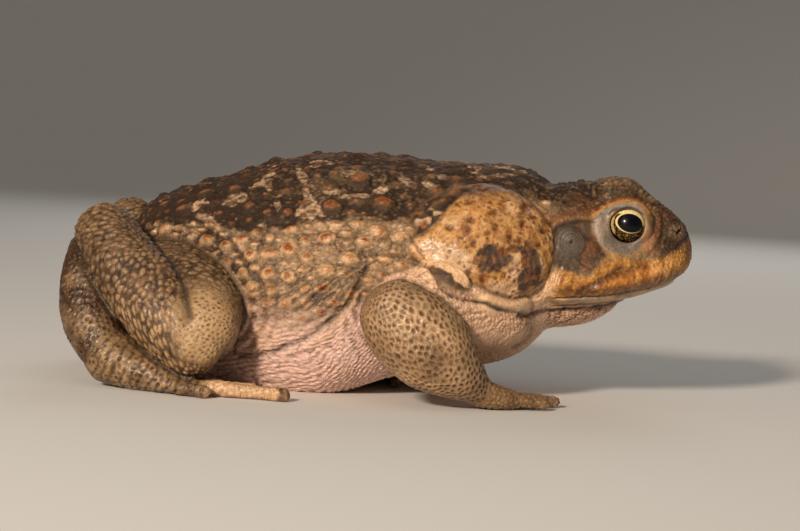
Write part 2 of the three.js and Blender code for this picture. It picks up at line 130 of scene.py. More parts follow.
def blots(low, high, size, seed):
    """Blots about size mm wide, from 0 where the field is low to 1 where it is high."""
    return step(low, high, noise(points, size, seed))


def unit(values):
    return np.clip(values, 0, 1)


def wave(phase):
    return np.sin(2 * math.pi * phase)


# The solids' surfaces, joined and turned into one even skin.

def solid_surface(name):
    shape = bmesh.new()
    shape.from_mesh(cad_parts[name].data)
    bmesh.ops.remove_doubles(shape, verts=shape.verts, dist=2e-6)
    bmesh.ops.triangulate(shape, faces=shape.faces)
    shape.verts.index_update()
    corners = np.array([v.co[:] for v in shape.verts]) / MM + DRAWN
    triangles = np.array([[v.index for v in face.verts] for face in shape.faces])
    shape.free()
    return corners, triangles


def normals_of(points, faces):
    corners = [points[faces[:, i]] for i in range(faces.shape[1])]
    if len(corners) == 4:
        square = np.cross(corners[2] - corners[0], corners[3] - corners[1])
    else:
        square = np.cross(corners[1] - corners[0], corners[2] - corners[0])
    normals = np.zeros_like(points)
    for axis in range(3):
        for corner in range(faces.shape[1]):
            normals[:, axis] += np.bincount(faces[:, corner], square[:, axis], len(points))
    return normals / np.maximum(np.linalg.norm(normals, axis=1, keepdims=True), 1e-12)


REGIONS = {
    "torso": ["torso"],
    "head": ["head"],
    "ear": ["tympanum_left", "tympanum_right"],
    "jaw": ["lower_jaw"],
    "throat": ["throat"],
    "gland": ["parotoid_left", "parotoid_right"],
    "upper_arm": ["upper_arm_left", "upper_arm_right"],
    "forearm": ["forearm_left", "forearm_right"],
    "hand": ["hand_left", "hand_right"],
    "thigh": ["thigh_left", "thigh_right"],
    "shank": ["shank_left", "shank_right"],
    "tarsus": ["tarsus_left", "tarsus_right"],
    "foot": ["foot_left", "foot_right"],
}
NAMES = list(REGIONS)
SWELL = 0.21
VOXEL = 0.4

surfaces = {}
for region, nodes in REGIONS.items():
    corners, triangles, count = [], [], 0
    for node in nodes:
        own_corners, own_triangles = solid_surface(node)
        corners.append(own_corners)
        triangles.append(own_triangles + count)
        count += len(own_corners)
    surfaces[region] = (np.concatenate(corners), np.concatenate(triangles))


def object_from(name, points, faces):
    mesh = bpy.data.meshes.new(name)
    mesh.from_pydata(points.tolist(), [], faces)
    mesh.validate()
    thing = bpy.data.objects.new(name, mesh)
    bpy.context.scene.collection.objects.link(thing)
    return thing


def rough_skin():
    """Every flesh solid, swollen until they meet, as one closed net of small squares."""
    points, faces, count = [], [], 0
    for corners, triangles in surfaces.values():
        points.append(corners + SWELL * normals_of(corners, triangles))
        faces.extend((triangles + count).tolist())
        count += len(corners)
    raw = object_from("raw_skin", np.concatenate(points), faces)
    remesh = raw.modifiers.new("even", "REMESH")
    remesh.mode = "VOXEL"
    remesh.voxel_size = VOXEL
    graph = bpy.context.evaluated_depsgraph_get()
    mesh = raw.evaluated_get(graph).to_mesh()
    points = np.empty(len(mesh.vertices) * 3)
    mesh.vertices.foreach_get("co", points)
    corners = np.empty(len(mesh.loops), dtype=np.int32)
    mesh.loops.foreach_get("vertex_index", corners)
    edges = np.empty(len(mesh.edges) * 2, dtype=np.int32)
    mesh.edges.foreach_get("vertices", edges)
    raw.to_mesh_clear()
    bpy.data.objects.remove(raw)
    return points.reshape(-1, 3), corners.reshape(-1, 4), edges.reshape(-1, 2)


class Net:
    """Neighbours in a net, for averages over them."""

    def __init__(self, edges, count):
        both = np.concatenate([edges, edges[:, ::-1]])
        order = np.argsort(both[:, 0], kind="stable")
        self.to = both[order, 1]
        self.degree = np.bincount(both[:, 0], minlength=count)
        self.start = np.concatenate([[0], np.cumsum(self.degree)[:-1]])

    def mean(self, values):
        total = np.add.reduceat(values[self.to], self.start, axis=0)
        return total / (self.degree if values.ndim == 1 else self.degree[:, None])

    def soften(self, values, rounds, strength=0.5):
        for _ in range(rounds):
            values = values + strength * (self.mean(values) - values)
        return values

    def part(self, kept):
        """The net's rows for some of the points only."""
        rows = object.__new__(Net)
        rows.degree = self.degree[kept]
        rows.start = np.concatenate([[0], np.cumsum(rows.degree)[:-1]])
        inner = np.arange(rows.degree.sum()) - np.repeat(rows.start, rows.degree)
        rows.to = self.to[np.repeat(self.start[kept], rows.degree) + inner]
        return rows

    def pieces(self, count):
        """For each point the lowest point that it is joined to."""
        labels = np.arange(count)
        while True:
            low = np.minimum(labels, np.minimum.reduceat(labels[self.to], self.start))
            low = low[low]
            if (low == labels).all():
                return labels
            labels = low


def outer_piece(points, faces, edges):
    labels = Net(edges, len(points)).pieces(len(points))
    kept = labels == np.bincount(labels).argmax()
    renumber = np.cumsum(kept) - 1
    return points[kept], renumber[faces[kept[faces[:, 0]]]], renumber[edges[kept[edges[:, 0]]]]


points, quads, edges = outer_piece(*rough_skin())
points = points.astype(np.float32)
net = Net(edges, len(points))


# Which solid each point came from, and how far it is from the others.
REACH = {"thigh": 13.0, "shank": 13.0, "forearm": 11.0, "gland": 8.0, "upper_arm": 6.0}
NEAR = 4.0


def distances(region):
    corners, triangles = surfaces[region]
    reach = REACH.get(region, NEAR)
    tree = BVHTree.FromPolygons(corners.tolist(), triangles.tolist())
    close = np.ones(len(points), bool)
    for axis in range(3):
        close &= points[:, axis] > corners[:, axis].min() - reach
        close &= points[:, axis] < corners[:, axis].max() + reach
    found = np.full(len(points), reach)
    for index, place in zip(np.flatnonzero(close), points[close].tolist()):
        hit = tree.find_nearest(place, reach)
        if hit[3] is not None:
            found[index] = hit[3]
    return found


away = {region: distances(region) for region in NAMES}
table = np.stack([away[region] for region in NAMES])
own = table.argmin(axis=0)
own_distance = table.min(axis=0)
is_region = {region: own == index for index, region in enumerate(NAMES)}


def within(*regions, rounds=12):
    """Soft mask of the named regions."""
    mask = np.zeros(len(points))
    for region in regions:
        mask[is_region[region]] = 1.0
    return net.soften(mask, rounds)


# Folds where two solids meet: depth and half width.
FOLDS = {
    ("head", "jaw"): (0.9, 0.5),
    ("gland", "torso"): (0.35, 0.7),
    ("gland", "head"): (0.45, 0.7),
    ("gland", "upper_arm"): (0.6, 0.8),
    ("jaw", "throat"): (0.8, 0.8),
    ("torso", "upper_arm"): (0.4, 1.0),
    ("torso", "forearm"): (0.9, 1.1),
    ("upper_arm", "forearm"): (0.7, 0.9),
    ("throat", "upper_arm"): (0.4, 1.0),
    ("torso", "thigh"): (0.6, 1.1),
    ("torso", "shank"): (0.9, 1.1),
    ("thigh", "shank"): (0.8, 1.0),
    ("shank", "tarsus"): (1.1, 0.9),
    ("shank", "foot"): (1.1, 0.9),
    ("torso", "foot"): (0.6, 0.8),
    ("torso", "hand"): (0.6, 0.8),
    ("thigh", "foot"): (0.6, 0.8),
}
KNEE = (203, 342)
across, down = picture_place(points)
knee = step(30, 18, np.hypot(across - KNEE[0], down - KNEE[1])) * (is_region["shank"] | is_region["thigh"])
fold = np.zeros(len(points))
for (first, second), (deep, wide) in FOLDS.items():
    for mine, other in ((first, second), (second, first)):
        gap = away[other] - own_distance
        cut = np.where(is_region[mine], deep * np.exp(-((gap / wide) ** 2)), 0)
        if first == "thigh":
            cut *= 1 - knee
        if "jaw" in (first, second):
            cut *= step(545, 566, across)
        fold = np.maximum(fold, cut)

# Smoothing: the body most, the digits and the head's edges least.
digits = within("hand", "foot", rounds=4)
head_soft = within("head", "ear", "jaw", rounds=4)
to_left = np.array([1.0, -1.0, 1.0])


def fold_over(places):
    return np.where(places[:, 1:2] < 0, places * to_left, places)


from_eye = np.linalg.norm(fold_over(points) - np.array(EYE_CENTRE), axis=1)
around_eye = step(8.2, 6.4, from_eye)
NOSTRIL = np.array([77.2, 9.9, 46.9])
around_nostril = step(4.0, 2.0, np.linalg.norm(fold_over(points) - NOSTRIL, axis=1))
yielding = 1 - 0.82 * digits
yielding *= 1 - 0.55 * head_soft
yielding *= 1 - 0.75 * around_eye
yielding *= 1 - 0.8 * around_nostril
yielding *= 1 - 0.5 * unit(fold)
SMOOTHING = 110
for _ in range(SMOOTHING):
    points += 0.5 * yielding[:, None] * (net.mean(points) - points)
soft_knee = net.soften(knee, 10)
bent_part = np.flatnonzero(soft_knee > 0.001)
knee_net = net.part(bent_part)
for _ in range(SMOOTHING):
    points[bent_part] += 0.5 * soft_knee[bent_part, None] * (knee_net.mean(points) - points[bent_part])
points[:, 2] = np.maximum(points[:, 2], 0)
normals = normals_of(points, quads)
across, down = picture_place(points)
facing = step(-0.15, 0.25, normals[:, 1] * np.sign(points[:, 1]))


# Points spread over the skin. FAR stands for any distance that doesn't matter.
FAR = 99.0


def scatter(places, where, spacing, seed, fixed=()):
    """Points of the skin that keep their spacing, drawn in a fixed random order after the fixed ones."""
    chosen = list(fixed)
    order = np.random.default_rng(seed).permutation(np.flatnonzero(where))
    order = np.concatenate([np.array(chosen, dtype=int), order])
    spacing = np.broadcast_to(spacing, len(points))
    tree = KDTree(len(order))
    listed = places[order].tolist()
    for index, place in enumerate(listed):
        tree.insert(place, index)
    tree.balance()
    free = np.ones(len(order), bool)
    chosen = []
    for index, place in enumerate(listed):
        if free[index] or index < len(fixed):
            chosen.append(order[index])
            for _, other, _ in tree.find_range(place, spacing[order[index]]):
                free[other] = False
    return np.array(chosen)


def nearest_two(places, centres, where):
    """For the points in where: distances to the nearest two centres, and which is the nearest."""
    tree = KDTree(len(centres))
    for index, place in enumerate(places[centres].tolist()):
        tree.insert(place, index)
    tree.balance()
    first, second = np.full(len(points), FAR), np.full(len(points), FAR)
    which = np.zeros(len(points), dtype=int)
    for index, place in zip(np.flatnonzero(where), places[where].tolist()):
        found = tree.find_n(place, 2)
        first[index], second[index] = found[0][2], found[1][2]
        which[index] = found[0][1]
    return first, second, which


rise = np.zeros(len(points))
# Paints that stand for light: crevice darkens as painted shade in creases, valleys and hollows, and as a
# darker tone elsewhere; light brightens as painted highlight; shade is painted shade.
PAINTS = "rosy cream amber charcoal rust umber slate peach shade pale crevice light wet".split()
paint = {name: np.zeros(len(points)) for name in PAINTS}


def lay(name, amount):
    paint[name] = np.maximum(paint[name], unit(amount))


wander_x = 2.2 * field(5, 1) + 0.9 * field(1.6, 2)
wander_y = 2.2 * field(5, 3) + 0.9 * field(1.6, 4)
fray = field(1.1, 8)
wobble = np.stack([noise(points, 2.2, seed) for seed in (5, 6, 7)], axis=1)


def patch(x, y, long, wide, turn=0.0, soft=0.35, wander=1.0):
    """Soft-edged oval in the photograph's pixels, with a wandering edge."""
    dx, dy = across + wander * wander_x - x, down + wander * wander_y - y
    c, s = math.cos(math.radians(turn)), math.sin(math.radians(turn))
    u, v = (dx * c - dy * s) / long, (dx * s + dy * c) / wide
    return step(1 + soft, 1 - soft, np.sqrt(u * u + v * v) + 0.3 * soft * fray)


def patches(rows, **how):
    """The strongest of several patches."""
    total = np.zeros(len(points))
    for row in rows:
        total = np.maximum(total, patch(*row, **how))
    return total


PIXELS_PER_MM = 3.85
# How far from a line its distance is worked out, in pixels.
MARGIN = 35


def line_distance(line, wander=0.35):
    """Distance in millimetres, in the photograph's plane, from a line through its pixels."""
    found = np.full(len(points), FAR, np.float32)
    xs, ys = zip(*line)
    close = (across > min(xs) - MARGIN) & (across < max(xs) + MARGIN)
    close = np.flatnonzero(close & (down > min(ys) - MARGIN) & (down < max(ys) + MARGIN))
    best = np.full(len(close), np.inf)
    x, y = across[close] + wander * wander_x[close], down[close] + wander * wander_y[close]
    for (ax, ay), (bx, by) in zip(line, line[1:]):
        length = math.hypot(bx - ax, by - ay)
        ux, uy = (bx - ax) / length, (by - ay) / length
        along = np.clip((x - ax) * ux + (y - ay) * uy, 0, length)
        best = np.minimum(best, np.hypot(x - ax - along * ux, y - ay - along * uy))
    found[close] = best / PIXELS_PER_MM
    return found


def curve(corners, steps=5):
    """A rounder line through the corners."""
    line = []
    for i in range(len(corners) - 1):
        p0, p1, p2 = corners[max(i - 1, 0)], corners[i], corners[i + 1]
        p3 = corners[min(i + 2, len(corners) - 1)]
        for j in range(steps):
            t = j / steps
            line.append(tuple(
                0.5 * (2 * b + (c - a) * t + (2 * a - 5 * b + 4 * c - d) * t * t
                       + (3 * b - a - 3 * c + d) * t**3)
                for a, b, c, d in zip(p0, p1, p2, p3)))
    return line + [tuple(corners[-1])]


def band(corners, wide, wander=0.35):
    """1 along a line through the photograph's pixels, and fading out over wide mm."""
    return np.exp(-((line_distance(curve(corners), wander) / wide) ** 2))


# Masks of the regions.
torso = within("torso")
gland = within("gland", rounds=5)
head = within("head", rounds=5)
ear = within("ear", rounds=3)
jaw = within("jaw", rounds=3)
throat = within("throat", rounds=8)
upper_arm = within("upper_arm", rounds=6)
forearm = within("forearm", rounds=6)
hand = within("hand", rounds=6)
thigh = within("thigh")
shank = within("shank")
tarsus = within("tarsus")
foot = within("foot", rounds=6)
limb = within("forearm", "hand", "thigh", "shank", "tarsus", "foot", rounds=8)
face = unit(head + ear)
crown = step(216, 202, down)
pelt = unit(torso + head * crown * step(618, 594, across))

# The back is dark above a line on the flank; the belly pale below another; the chest is granular.
dark_edge = np.interp(across, [130, 180, 215, 240, 262, 285, 300, 320, 400, 440, 470, 545, 560, 600],
                      [225, 226, 228, 234, 238, 231, 225, 221, 219, 213, 200, 200, 206, 204])
back = pelt * step(5, -5, down + 3 * wander_y + 3 * fray - dark_edge)
belly_edge = np.interp(across, [150, 235, 285, 330, 345, 380, 470], [330, 345, 348, 335, 310, 300, 300])
underside = step(0.1, -0.5, normals[:, 2])
belly = torso * np.maximum(step(-8, 8, down + 2 * wander_y - belly_edge), underside)
chest = torso * step(462, 474, across) * step(294, 304, down)
belly = belly * (1 - chest)
flank = unit(torso - back - belly - chest)
rear_flank = flank * step(300, 262, across) * step(290, 262, down)
roll = (1 - gland) * (1 - jaw) * facing * step(3.0, 1.8, line_distance(curve(
    [(484, 302), (500, 304), (518, 302), (535, 297), (548, 289), (557, 281), (566, 279)])))
roll *= step(563, 551, across + wander_x)

# The gland's upper edge on the shoulder; beyond it the skin is the back's.
gland_edge = np.interp(across, [404, 412, 430, 437, 447, 460, 475, 495],
                       [247, 238, 230, 221, 207, 194, 185, 179])
beyond = gland * facing * step(2, -3, down + 0.8 * wander_y - gland_edge) * step(500, 485, across)

# Warts of the back and flanks that the photograph shows: place in its pixels, half sizes in mm, rust.
SEEN_WARTS = [
    (383, 205, 4, 3, 1), (331, 207, 3.4, 2.4, 1), (288, 249, 2.5, 2.4, 1), (287, 214, 2.3, 1.9, 0.8),
    (250, 207, 2.7, 1.8, 0.8), (250, 255, 1.9, 1.8, 0.9), (225, 245, 1.8, 1.6, 0.9),
    (327, 270, 2.9, 2, 0.3), (350, 259, 2.8, 1.7, 0.5), (268, 273, 2, 1.9, 0.8), (289, 277, 2, 2, 0.7),
    (252, 289, 2.2, 2.1, 0.4), (270, 290, 1.8, 1.7, 0.4), (236, 290, 1.6, 1.8, 0.3),
    (323, 288, 2.7, 1.5, 0.9), (286, 303, 2, 1.7, 0.6), (268, 303, 1.8, 1.6, 0.6),
    (380, 231, 2.5, 1.9, 0.5), (358, 225, 2, 1.5, 0.4), (326, 238, 2.9, 1.7, 0.8),
    (306, 241, 1.5, 1.4, 0.9), (364, 241, 2.4, 1.5, 0.8), (258, 233, 2, 1.9, 0.5),
    (360, 181, 4.4, 3.6, 0.8), (308, 170, 1.7, 1.6, 0.7), (318, 177, 1.5, 1.4, 0.7),
    (336, 175, 2.4, 2, 0.6), (184, 210, 3.4, 2.2, 0.8), (249, 221, 1.7, 1.5, 0.7), (206, 194, 3.4, 2, 0.7),
    (394, 175, 2.2, 1.8, 0.9), (436, 205, 2.8, 2.6, 0.6), (455, 182, 3.2, 3, 0.8),
    (411, 206, 1.6, 1.5, 0.6), (415, 186, 1.8, 1.4, 0.6), (431, 178, 2, 1.6, 0.8),
    (306, 303, 1.6, 1.3, 0.5), (242, 273, 1.5, 1.6, 0.5), (305, 288, 1.6, 1.3, 0.6),
    (307, 258, 1.7, 1.5, 0.6), (345, 275, 1.7, 1.2, 0.6), (232, 225, 1.7, 1.5, 0.6),
    (270, 238, 1.3, 1.3, 0.6), (401, 236, 2, 1.4, 0.4), (418, 222, 1.7, 1.2, 0.3),
    (220, 214, 1.8, 1.5, 0.7), (272, 182, 1.6, 1.5, 0.6), (235, 190, 2.6, 1.8, 0.6),
]
skin_tree = BVHTree.FromPolygons(points.tolist(), quads.tolist())
all_points = KDTree(len(points))
for index, place in enumerate(points.tolist()):
    all_points.insert(place, index)
all_points.balance()


def seen_at(x, y):
    """Where the line of sight through a pixel of the photograph meets the skin."""
    ray = CAMERA_RIGHT * (x - PHOTO_WIDE / 2) / FOCAL - CAMERA_UP * (y - PHOTO_HIGH / 2) / FOCAL - CAMERA_BACK
    hit = skin_tree.ray_cast(CAMERA_AT.tolist(), ray.tolist())
    return None if hit[0] is None else np.array(hit[0])


# On the left side the drawn warts stand a little further ahead.
LEFT_AHEAD = np.array([1.7, 0, 0])
seeds, sizes = [], []
for x, y, long, wide, rusty in SEEN_WARTS:
    place = seen_at(x, y)
    if place is None:
        continue
    for spot in (place, place * to_left + LEFT_AHEAD):
        index = all_points.find(spot)[1]
        if pelt[index] > 0.5:
            seeds.append(index)
            sizes.append((long, wide, rusty, 0.36 * min(long, wide) + 0.25))
warty = (pelt > 0.6) & (belly < 0.4) & (fold < 0.15) & (chest < 0.2)

# The other warts: spacing, least and greatest half size, seed.
WART_SIZES = ((7.5, 1.4, 1.9, 12), (3.6, 0.9, 1.3, 16), (2.2, 0.5, 0.8, 17))
rng = np.random.default_rng(13)
warts = np.array(seeds)
for spacing, least, most, seed in WART_SIZES:
    space = np.full(len(points), spacing)
    space[warts] = [1.1 * size[0] + 1.2 * most for size in sizes]
    warts = scatter(points, warty, space, seed, fixed=warts)
    for index in warts[len(sizes):]:
        size = (least + (most - least) * rng.random()) * (1 - 0.3 * (head[index] > 0.5))
        tall = (0.62 - 0.42 * back[index]) * size + 0.08
        sizes.append((size * (1.3 + 0.5 * rng.random()), size * 0.82, 0.2 + 0.8 * rng.random(), tall))
sizes = np.array(sizes)
near_torso = pelt > 0.02
first, second, which = nearest_two(points + 0.35 * wobble, warts, near_torso)
centre = points[warts][which]
level = normals[warts][which]
ahead = np.array([1.0, 0, 0]) - level * level[:, :1]
ahead /= np.maximum(np.linalg.norm(ahead, axis=1, keepdims=True), 1e-6)
upward = np.cross(level, ahead)
upward *= np.where(upward[:, 2:] < 0, -1, 1)
offset = points - centre
u = (offset * ahead).sum(axis=1) / sizes[which, 0]
v = (offset * upward).sum(axis=1) / sizes[which, 1]
flat = np.hypot(u, v) * (1 + 0.25 * field(1.8, 14))
on_wart = pelt * near_torso * ((normals * level).sum(axis=1) > 0.2)
pointed = 0.4 * unit(1 - flat) + 0.6 * unit(1 - flat * flat)
wart_body = step(1.15, 0.85, flat) * on_wart
rise += sizes[which, 3] * 1.3 * pointed * on_wart
top_spot = np.hypot(u, v - 0.15) + 0.25 * fray
wart_top = back * step(0.8, 0.2, top_spot) + (1 - back) * step(0.75, 0.2, top_spot)
wart_top *= on_wart * sizes[which, 2]
big = step(2.6, 3.2, sizes[which, 0])
wart_ring = np.exp(-(((flat - 1.12) / 0.18) ** 2)) * on_wart
between = step(0.8, 0.0, second - first) * near_torso * (1 - wart_body) * (first < 12)
between *= blots(-0.5, 0.4, 3, 15)
rise -= 0.16 * between * pelt * (1 - belly)

# Granules: closely packed raised cells, longer along a direction, on both sides of the body.
sided = fold_over(points)
sided[:, 0] += np.where(points[:, 1] > 0, 500, 0)


def granules(places, soft, pitch, tall, direction, stretch, seed, netted=False):
    """Adds cells where soft isn't 0, or pits in a net of ridges.

    Gives 1 over a cell and 0 between, 1 at its tip, its random share and 1 on the border between cells."""
    here = soft > 0.15
    axis = np.array(direction) / np.linalg.norm(direction)
    spread = places + 0.33 * pitch * wobble
    spread = spread - (1 - 1 / stretch) * np.outer(spread @ axis, axis)
    spacing = pitch * (1 + 0.3 * field(5, 21))
    cells = scatter(spread, here, spacing, seed)
    first, second, which = nearest_two(spread, cells, here)
    chance = np.random.default_rng(seed + 1).random(len(cells))[which] * here
    border = step(0.6 if netted else 0.35, 0.0, unit((second - first) / spacing)) * here
    cell = unit(1 - (first / (spacing * (0.52 + 0.22 * chance))) ** 2) * here * (1 - border)
    if netted:
        tip = step(0.48, 0.12, first / spacing / (0.7 + 0.6 * chance)) * here
        shape = 0.3 + 0.3 * border - np.exp(-((first / spacing / 0.3) ** 2))
    else:
        tip = step(0.55, 0.22, first / spacing) * here
        shape = cell - 0.4
    rise[:] += soft * tall * (0.6 + 0.7 * chance) * shape * here * (1 - unit(fold * 1.3))
    return cell, tip, chance, border


ABOVE = (1.0, 0.0, 0.0)
fine, fine_tip, fine_chance, _ = granules(points, unit(back + flank), 0.95, 0.2, ABOVE, 1.3, 31)
bent = points + np.outer(0.35 * np.maximum(points[:, 0] - 5, 0), [0, 0, 1])
crepe, crepe_tip, crepe_chance, _ = granules(bent, belly, 0.8, 0.2, ABOVE, 2.8, 33)
coarse_area = unit(unit(chest + upper_arm) * (1 - 0.6 * step(-0.1, -0.6, normals[:, 2])) + throat)

# The gland's lower lobe runs on over the shoulder without a step.
lobe_area = patches([(428, 257, 20, 9, -28), (446, 275, 26, 11, -33)], soft=0.2, wander=0.5)
lobe_area *= facing * (1 - forearm)
lobe = lobe_area * unit(torso + upper_arm)
seam = net.soften(lobe_area * unit(torso + upper_arm + gland), 8)
seam_part = np.flatnonzero(seam > 0.01)
seam_net = net.part(seam_part)
for _ in range(40):
    points[seam_part] += 0.5 * seam[seam_part, None] * (seam_net.mean(points) - points[seam_part])
coarse_area *= (1 - roll) * (1 - lobe)
rise += 1.6 * net.soften(lobe * (1 - 0.55 * gland), 20)
rise += lobe * (0.3 * field(5, 43) + 0.25 * field(1.8, 44))

# Below the mouth the skin is smooth down to the fold over the throat.
jaw_fold = np.interp(across, [530, 545, 560, 580, 600, 615, 630], [314, 312, 310, 308.5, 306, 303.5, 300])
jaw_band = unit(throat + jaw) * step(532, 545, across) * step(1.5, -1.5, down + 0.3 * wander_y - jaw_fold)
coarse_area *= 1 - jaw_band
rise += 0.45 * jaw_band * np.exp(-(((down + 3.5 - jaw_fold) / 3) ** 2))
coarse, coarse_tip, coarse_chance, _ = granules(points, coarse_area, 0.75, 0.26, (1.0, 0.0, -0.4), 1.7, 35)

slope = 0.15 + 0.75 * step(290, 380, across)
wrinkle_phase = (down + slope * (across - 300)) / 5.6 + 1.5 * field(7, 52) + 0.7 * field(2.5, 53)
wrinkles = wave(wrinkle_phase) * (0.6 + 0.4 * field(4, 55))
rise += 0.22 * belly * wrinkles
chest_phase = (down * 0.8 + across * 0.4) / 8 + 1.6 * field(7, 54)
chest_wave = wave(chest_phase)
rise += 0.14 * coarse_area * chest_wave * (0.6 + 0.6 * field(4, 56))
ripple = wave((across - 0.6 * down) / 5.5 + 1.8 * field(4, 134))
rise += 0.1 * chest * ripple * (0.5 + 0.8 * field(3, 137))

# Folds that follow the hind leg and the arm on the flank.
FOLLOWING = (("shank", 2.9, 11.0, 0.2), ("thigh", 3.1, 11.0, 0.42), ("forearm", 2.4, 9.0, 0.3))
follow = np.zeros(len(points))
for region, pitch, reach, deep in FOLLOWING:
    folds = wave((away[region] + field(6, 51)) / pitch)
    near = torso * step(reach, reach * 0.35, away[region]) * (1 - wart_body * 0.6)
    rise += deep * near * folds
    follow = np.maximum(follow, near * step(0.2, -0.9, folds) * deep)

# Creases that fan out from the armpit over the flank.
ARMPIT = (366, 256)
fan_angle = np.arctan2(down - ARMPIT[1], ARMPIT[0] - across)
from_armpit = np.hypot(down - ARMPIT[1], across - ARMPIT[0])
fan_wave = wave(fan_angle / 0.1 + 0.9 * field(8, 57) + 0.35 * field(2.5, 58))
fan = (flank + 0.5 * belly) * step(12, 40, from_armpit) * step(170, 100, from_armpit)
fan *= step(0.1, 0.35, fan_angle) * step(1.5, 1.1, fan_angle) * (0.7 + 0.5 * field(6, 59))
rise += 0.2 * fan * fan_wave * (1 - 0.6 * wart_body)
winding = noise(points * np.array([0.5, 1, 1.5]), 2.6, 60)
crease = np.exp(-((winding / 0.09) ** 2)) * flank * (1 - 0.7 * wart_body) * blots(-0.3, 0.3, 5, 67)
rise -= 0.16 * crease

# Drawn folds of the flank and neck: corners in the photograph's pixels, depth, half width.
GROOVES = [
    ([(366, 257), (367, 268), (358, 284), (348, 304), (330, 321), (304, 339), (274, 352), (240, 357)],
     0.8, 0.7),
    ([(364, 263), (346, 275), (330, 286), (304, 306), (278, 316), (252, 317)], 0.5, 0.8),
    ([(368, 266), (354, 283), (338, 301), (318, 318), (290, 330)], 0.4, 0.6),
    ([(357, 272), (343, 286), (326, 297), (308, 309), (292, 313)], 0.3, 0.5),
    ([(230, 273), (237, 290), (240, 306), (238, 326), (234, 352)], 0.6, 0.6),
    ([(180, 231), (197, 243), (216, 253), (228, 267), (234, 280)], 0.5, 0.6),
    ([(214, 239), (226, 252), (235, 266), (244, 283), (249, 298)], 0.4, 0.6),
    ([(160, 220), (176, 224), (192, 233), (206, 244)], 0.4, 0.5),
    ([(224, 232), (236, 246), (244, 262), (254, 280)], 0.3, 0.5),
    ([(360, 257), (374, 254), (388, 256), (402, 255), (416, 262), (430, 272), (444, 288)], 0.5, 0.8),
    ([(404, 240), (402, 250), (412, 262), (426, 270)], 0.5, 0.6),
    ([(412, 238), (430, 230), (438, 220), (448, 206), (461, 193), (477, 184), (496, 180)], 0.6, 0.7),
    ([(426, 268), (441, 286), (456, 296), (471, 300), (486, 303), (503, 310), (517, 313), (531, 316)],
     0.8, 0.6),
    ([(520, 315), (534, 315), (549, 311.5), (565, 310)], 0.9, 0.9),
    ([(560, 311), (580, 309.5), (600, 307), (615, 304.5), (632, 300.5)], 1.1, 0.7),
    ([(528, 322), (532, 330), (527, 340), (514, 348)], 0.5, 0.6),
    ([(352, 304), (360, 330), (375, 352), (392, 372)], 0.3, 0.6),
    ([(345, 316), (349, 335), (362, 358)], 0.25, 0.5),
]
grooves = np.zeros(len(points))
body_side = unit(torso + throat + upper_arm + gland + 0.6 * head) * facing
for corners, deep, wide in GROOVES:
    grooves = np.maximum(grooves, deep * band(corners, wide, 0.9) * body_side * (0.75 + 0.5 * wander_x / 2.2))
RIDGES = [
    ([(180, 226), (200, 238), (220, 250), (233, 266), (240, 282)], 0.4, 0.9),
    ([(352, 304), (343, 322), (318, 340), (290, 352)], 0.4, 1.3),
    ([(363, 268), (374, 262), (388, 260), (403, 262), (420, 269), (434, 281)], 0.5, 1.0),
    ([(488, 302), (505, 305), (520, 303), (535, 298), (548, 290), (556, 282)], 1.2, 1.7),
    ([(412, 243), (424, 252), (440, 263), (458, 273)], 0.9, 2.6),
]
for corners, tall, wide in RIDGES:
    rise += tall * band(corners, wide) * unit(body_side + gland)

# Granules of the limbs: mask, spacing, height, long direction and stretch.
fine_side = forearm * step(412, 380, across + (down - 270) * 0.6)
shank_top = shank * step(262, 236, down)
knee_area = np.maximum(soft_knee, facing * patch(206, 322, 33, 36, soft=0.5, wander=2))
shank_low = shank * step(286, 316, down) * (1 - knee_area)
shank_mid = unit(shank - shank_top - shank_low) * (1 - knee_area)
knee_skin = unit(shank + thigh) * knee_area
toe_area = foot * step(200, 214, across) * step(362, 370, down)
LIMB_SKIN = [
    (forearm - fine_side, 1.1, 0.42, (0.6, 0.0, -0.8), 1.45, True),
    (fine_side, 0.85, 0.3, (0.6, 0.0, -0.8), 1.3, True),
    (hand, 1.1, 0.3, (1.0, 0.0, 0.0), 1.0, False),
    (thigh * (1 - knee_area), 1.4, 0.5, (1.0, 0.0, 0.2), 1.6, False),
    (shank_top, 1.15, 0.5, (1.0, 0.2, 0.3), 2.6, False),
    (shank_mid, 1.45, 0.5, (0.4, 0.0, 1.0), 1.4, False),
    (shank_low, 1.05, 0.38, (-0.35, 0.0, 1.0), 3.2, False),
    (knee_skin, 1.0, 0.24, (1.0, 0.0, 0.0), 1.3, True),
    (tarsus, 1.2, 0.34, (0.5, 0.0, 0.8), 1.5, True),
    (foot * (1 - toe_area), 1.15, 0.3, (0.5, 0.0, 0.8), 1.5, True),
    (toe_area, 1.0, 0.18, (0.2, 1.0, 1.0), 2.2, False),
]
lump, lump_tip, lump_chance, mesh_line, most = (np.zeros(len(points)) for _ in range(5))
for number, (soft, pitch, tall, direction, stretch, netted) in enumerate(LIMB_SKIN):
    found = granules(sided, unit(soft), pitch, tall, direction, stretch, 60 + 2 * number, netted)
    mine = (soft > most) & (soft > 0.15)
    most = np.where(mine, soft, most)
    lump, lump_tip, lump_chance, mesh_line = (
        np.where(mine, new, old) for new, old in zip(found, (lump, lump_tip, lump_chance, mesh_line)))

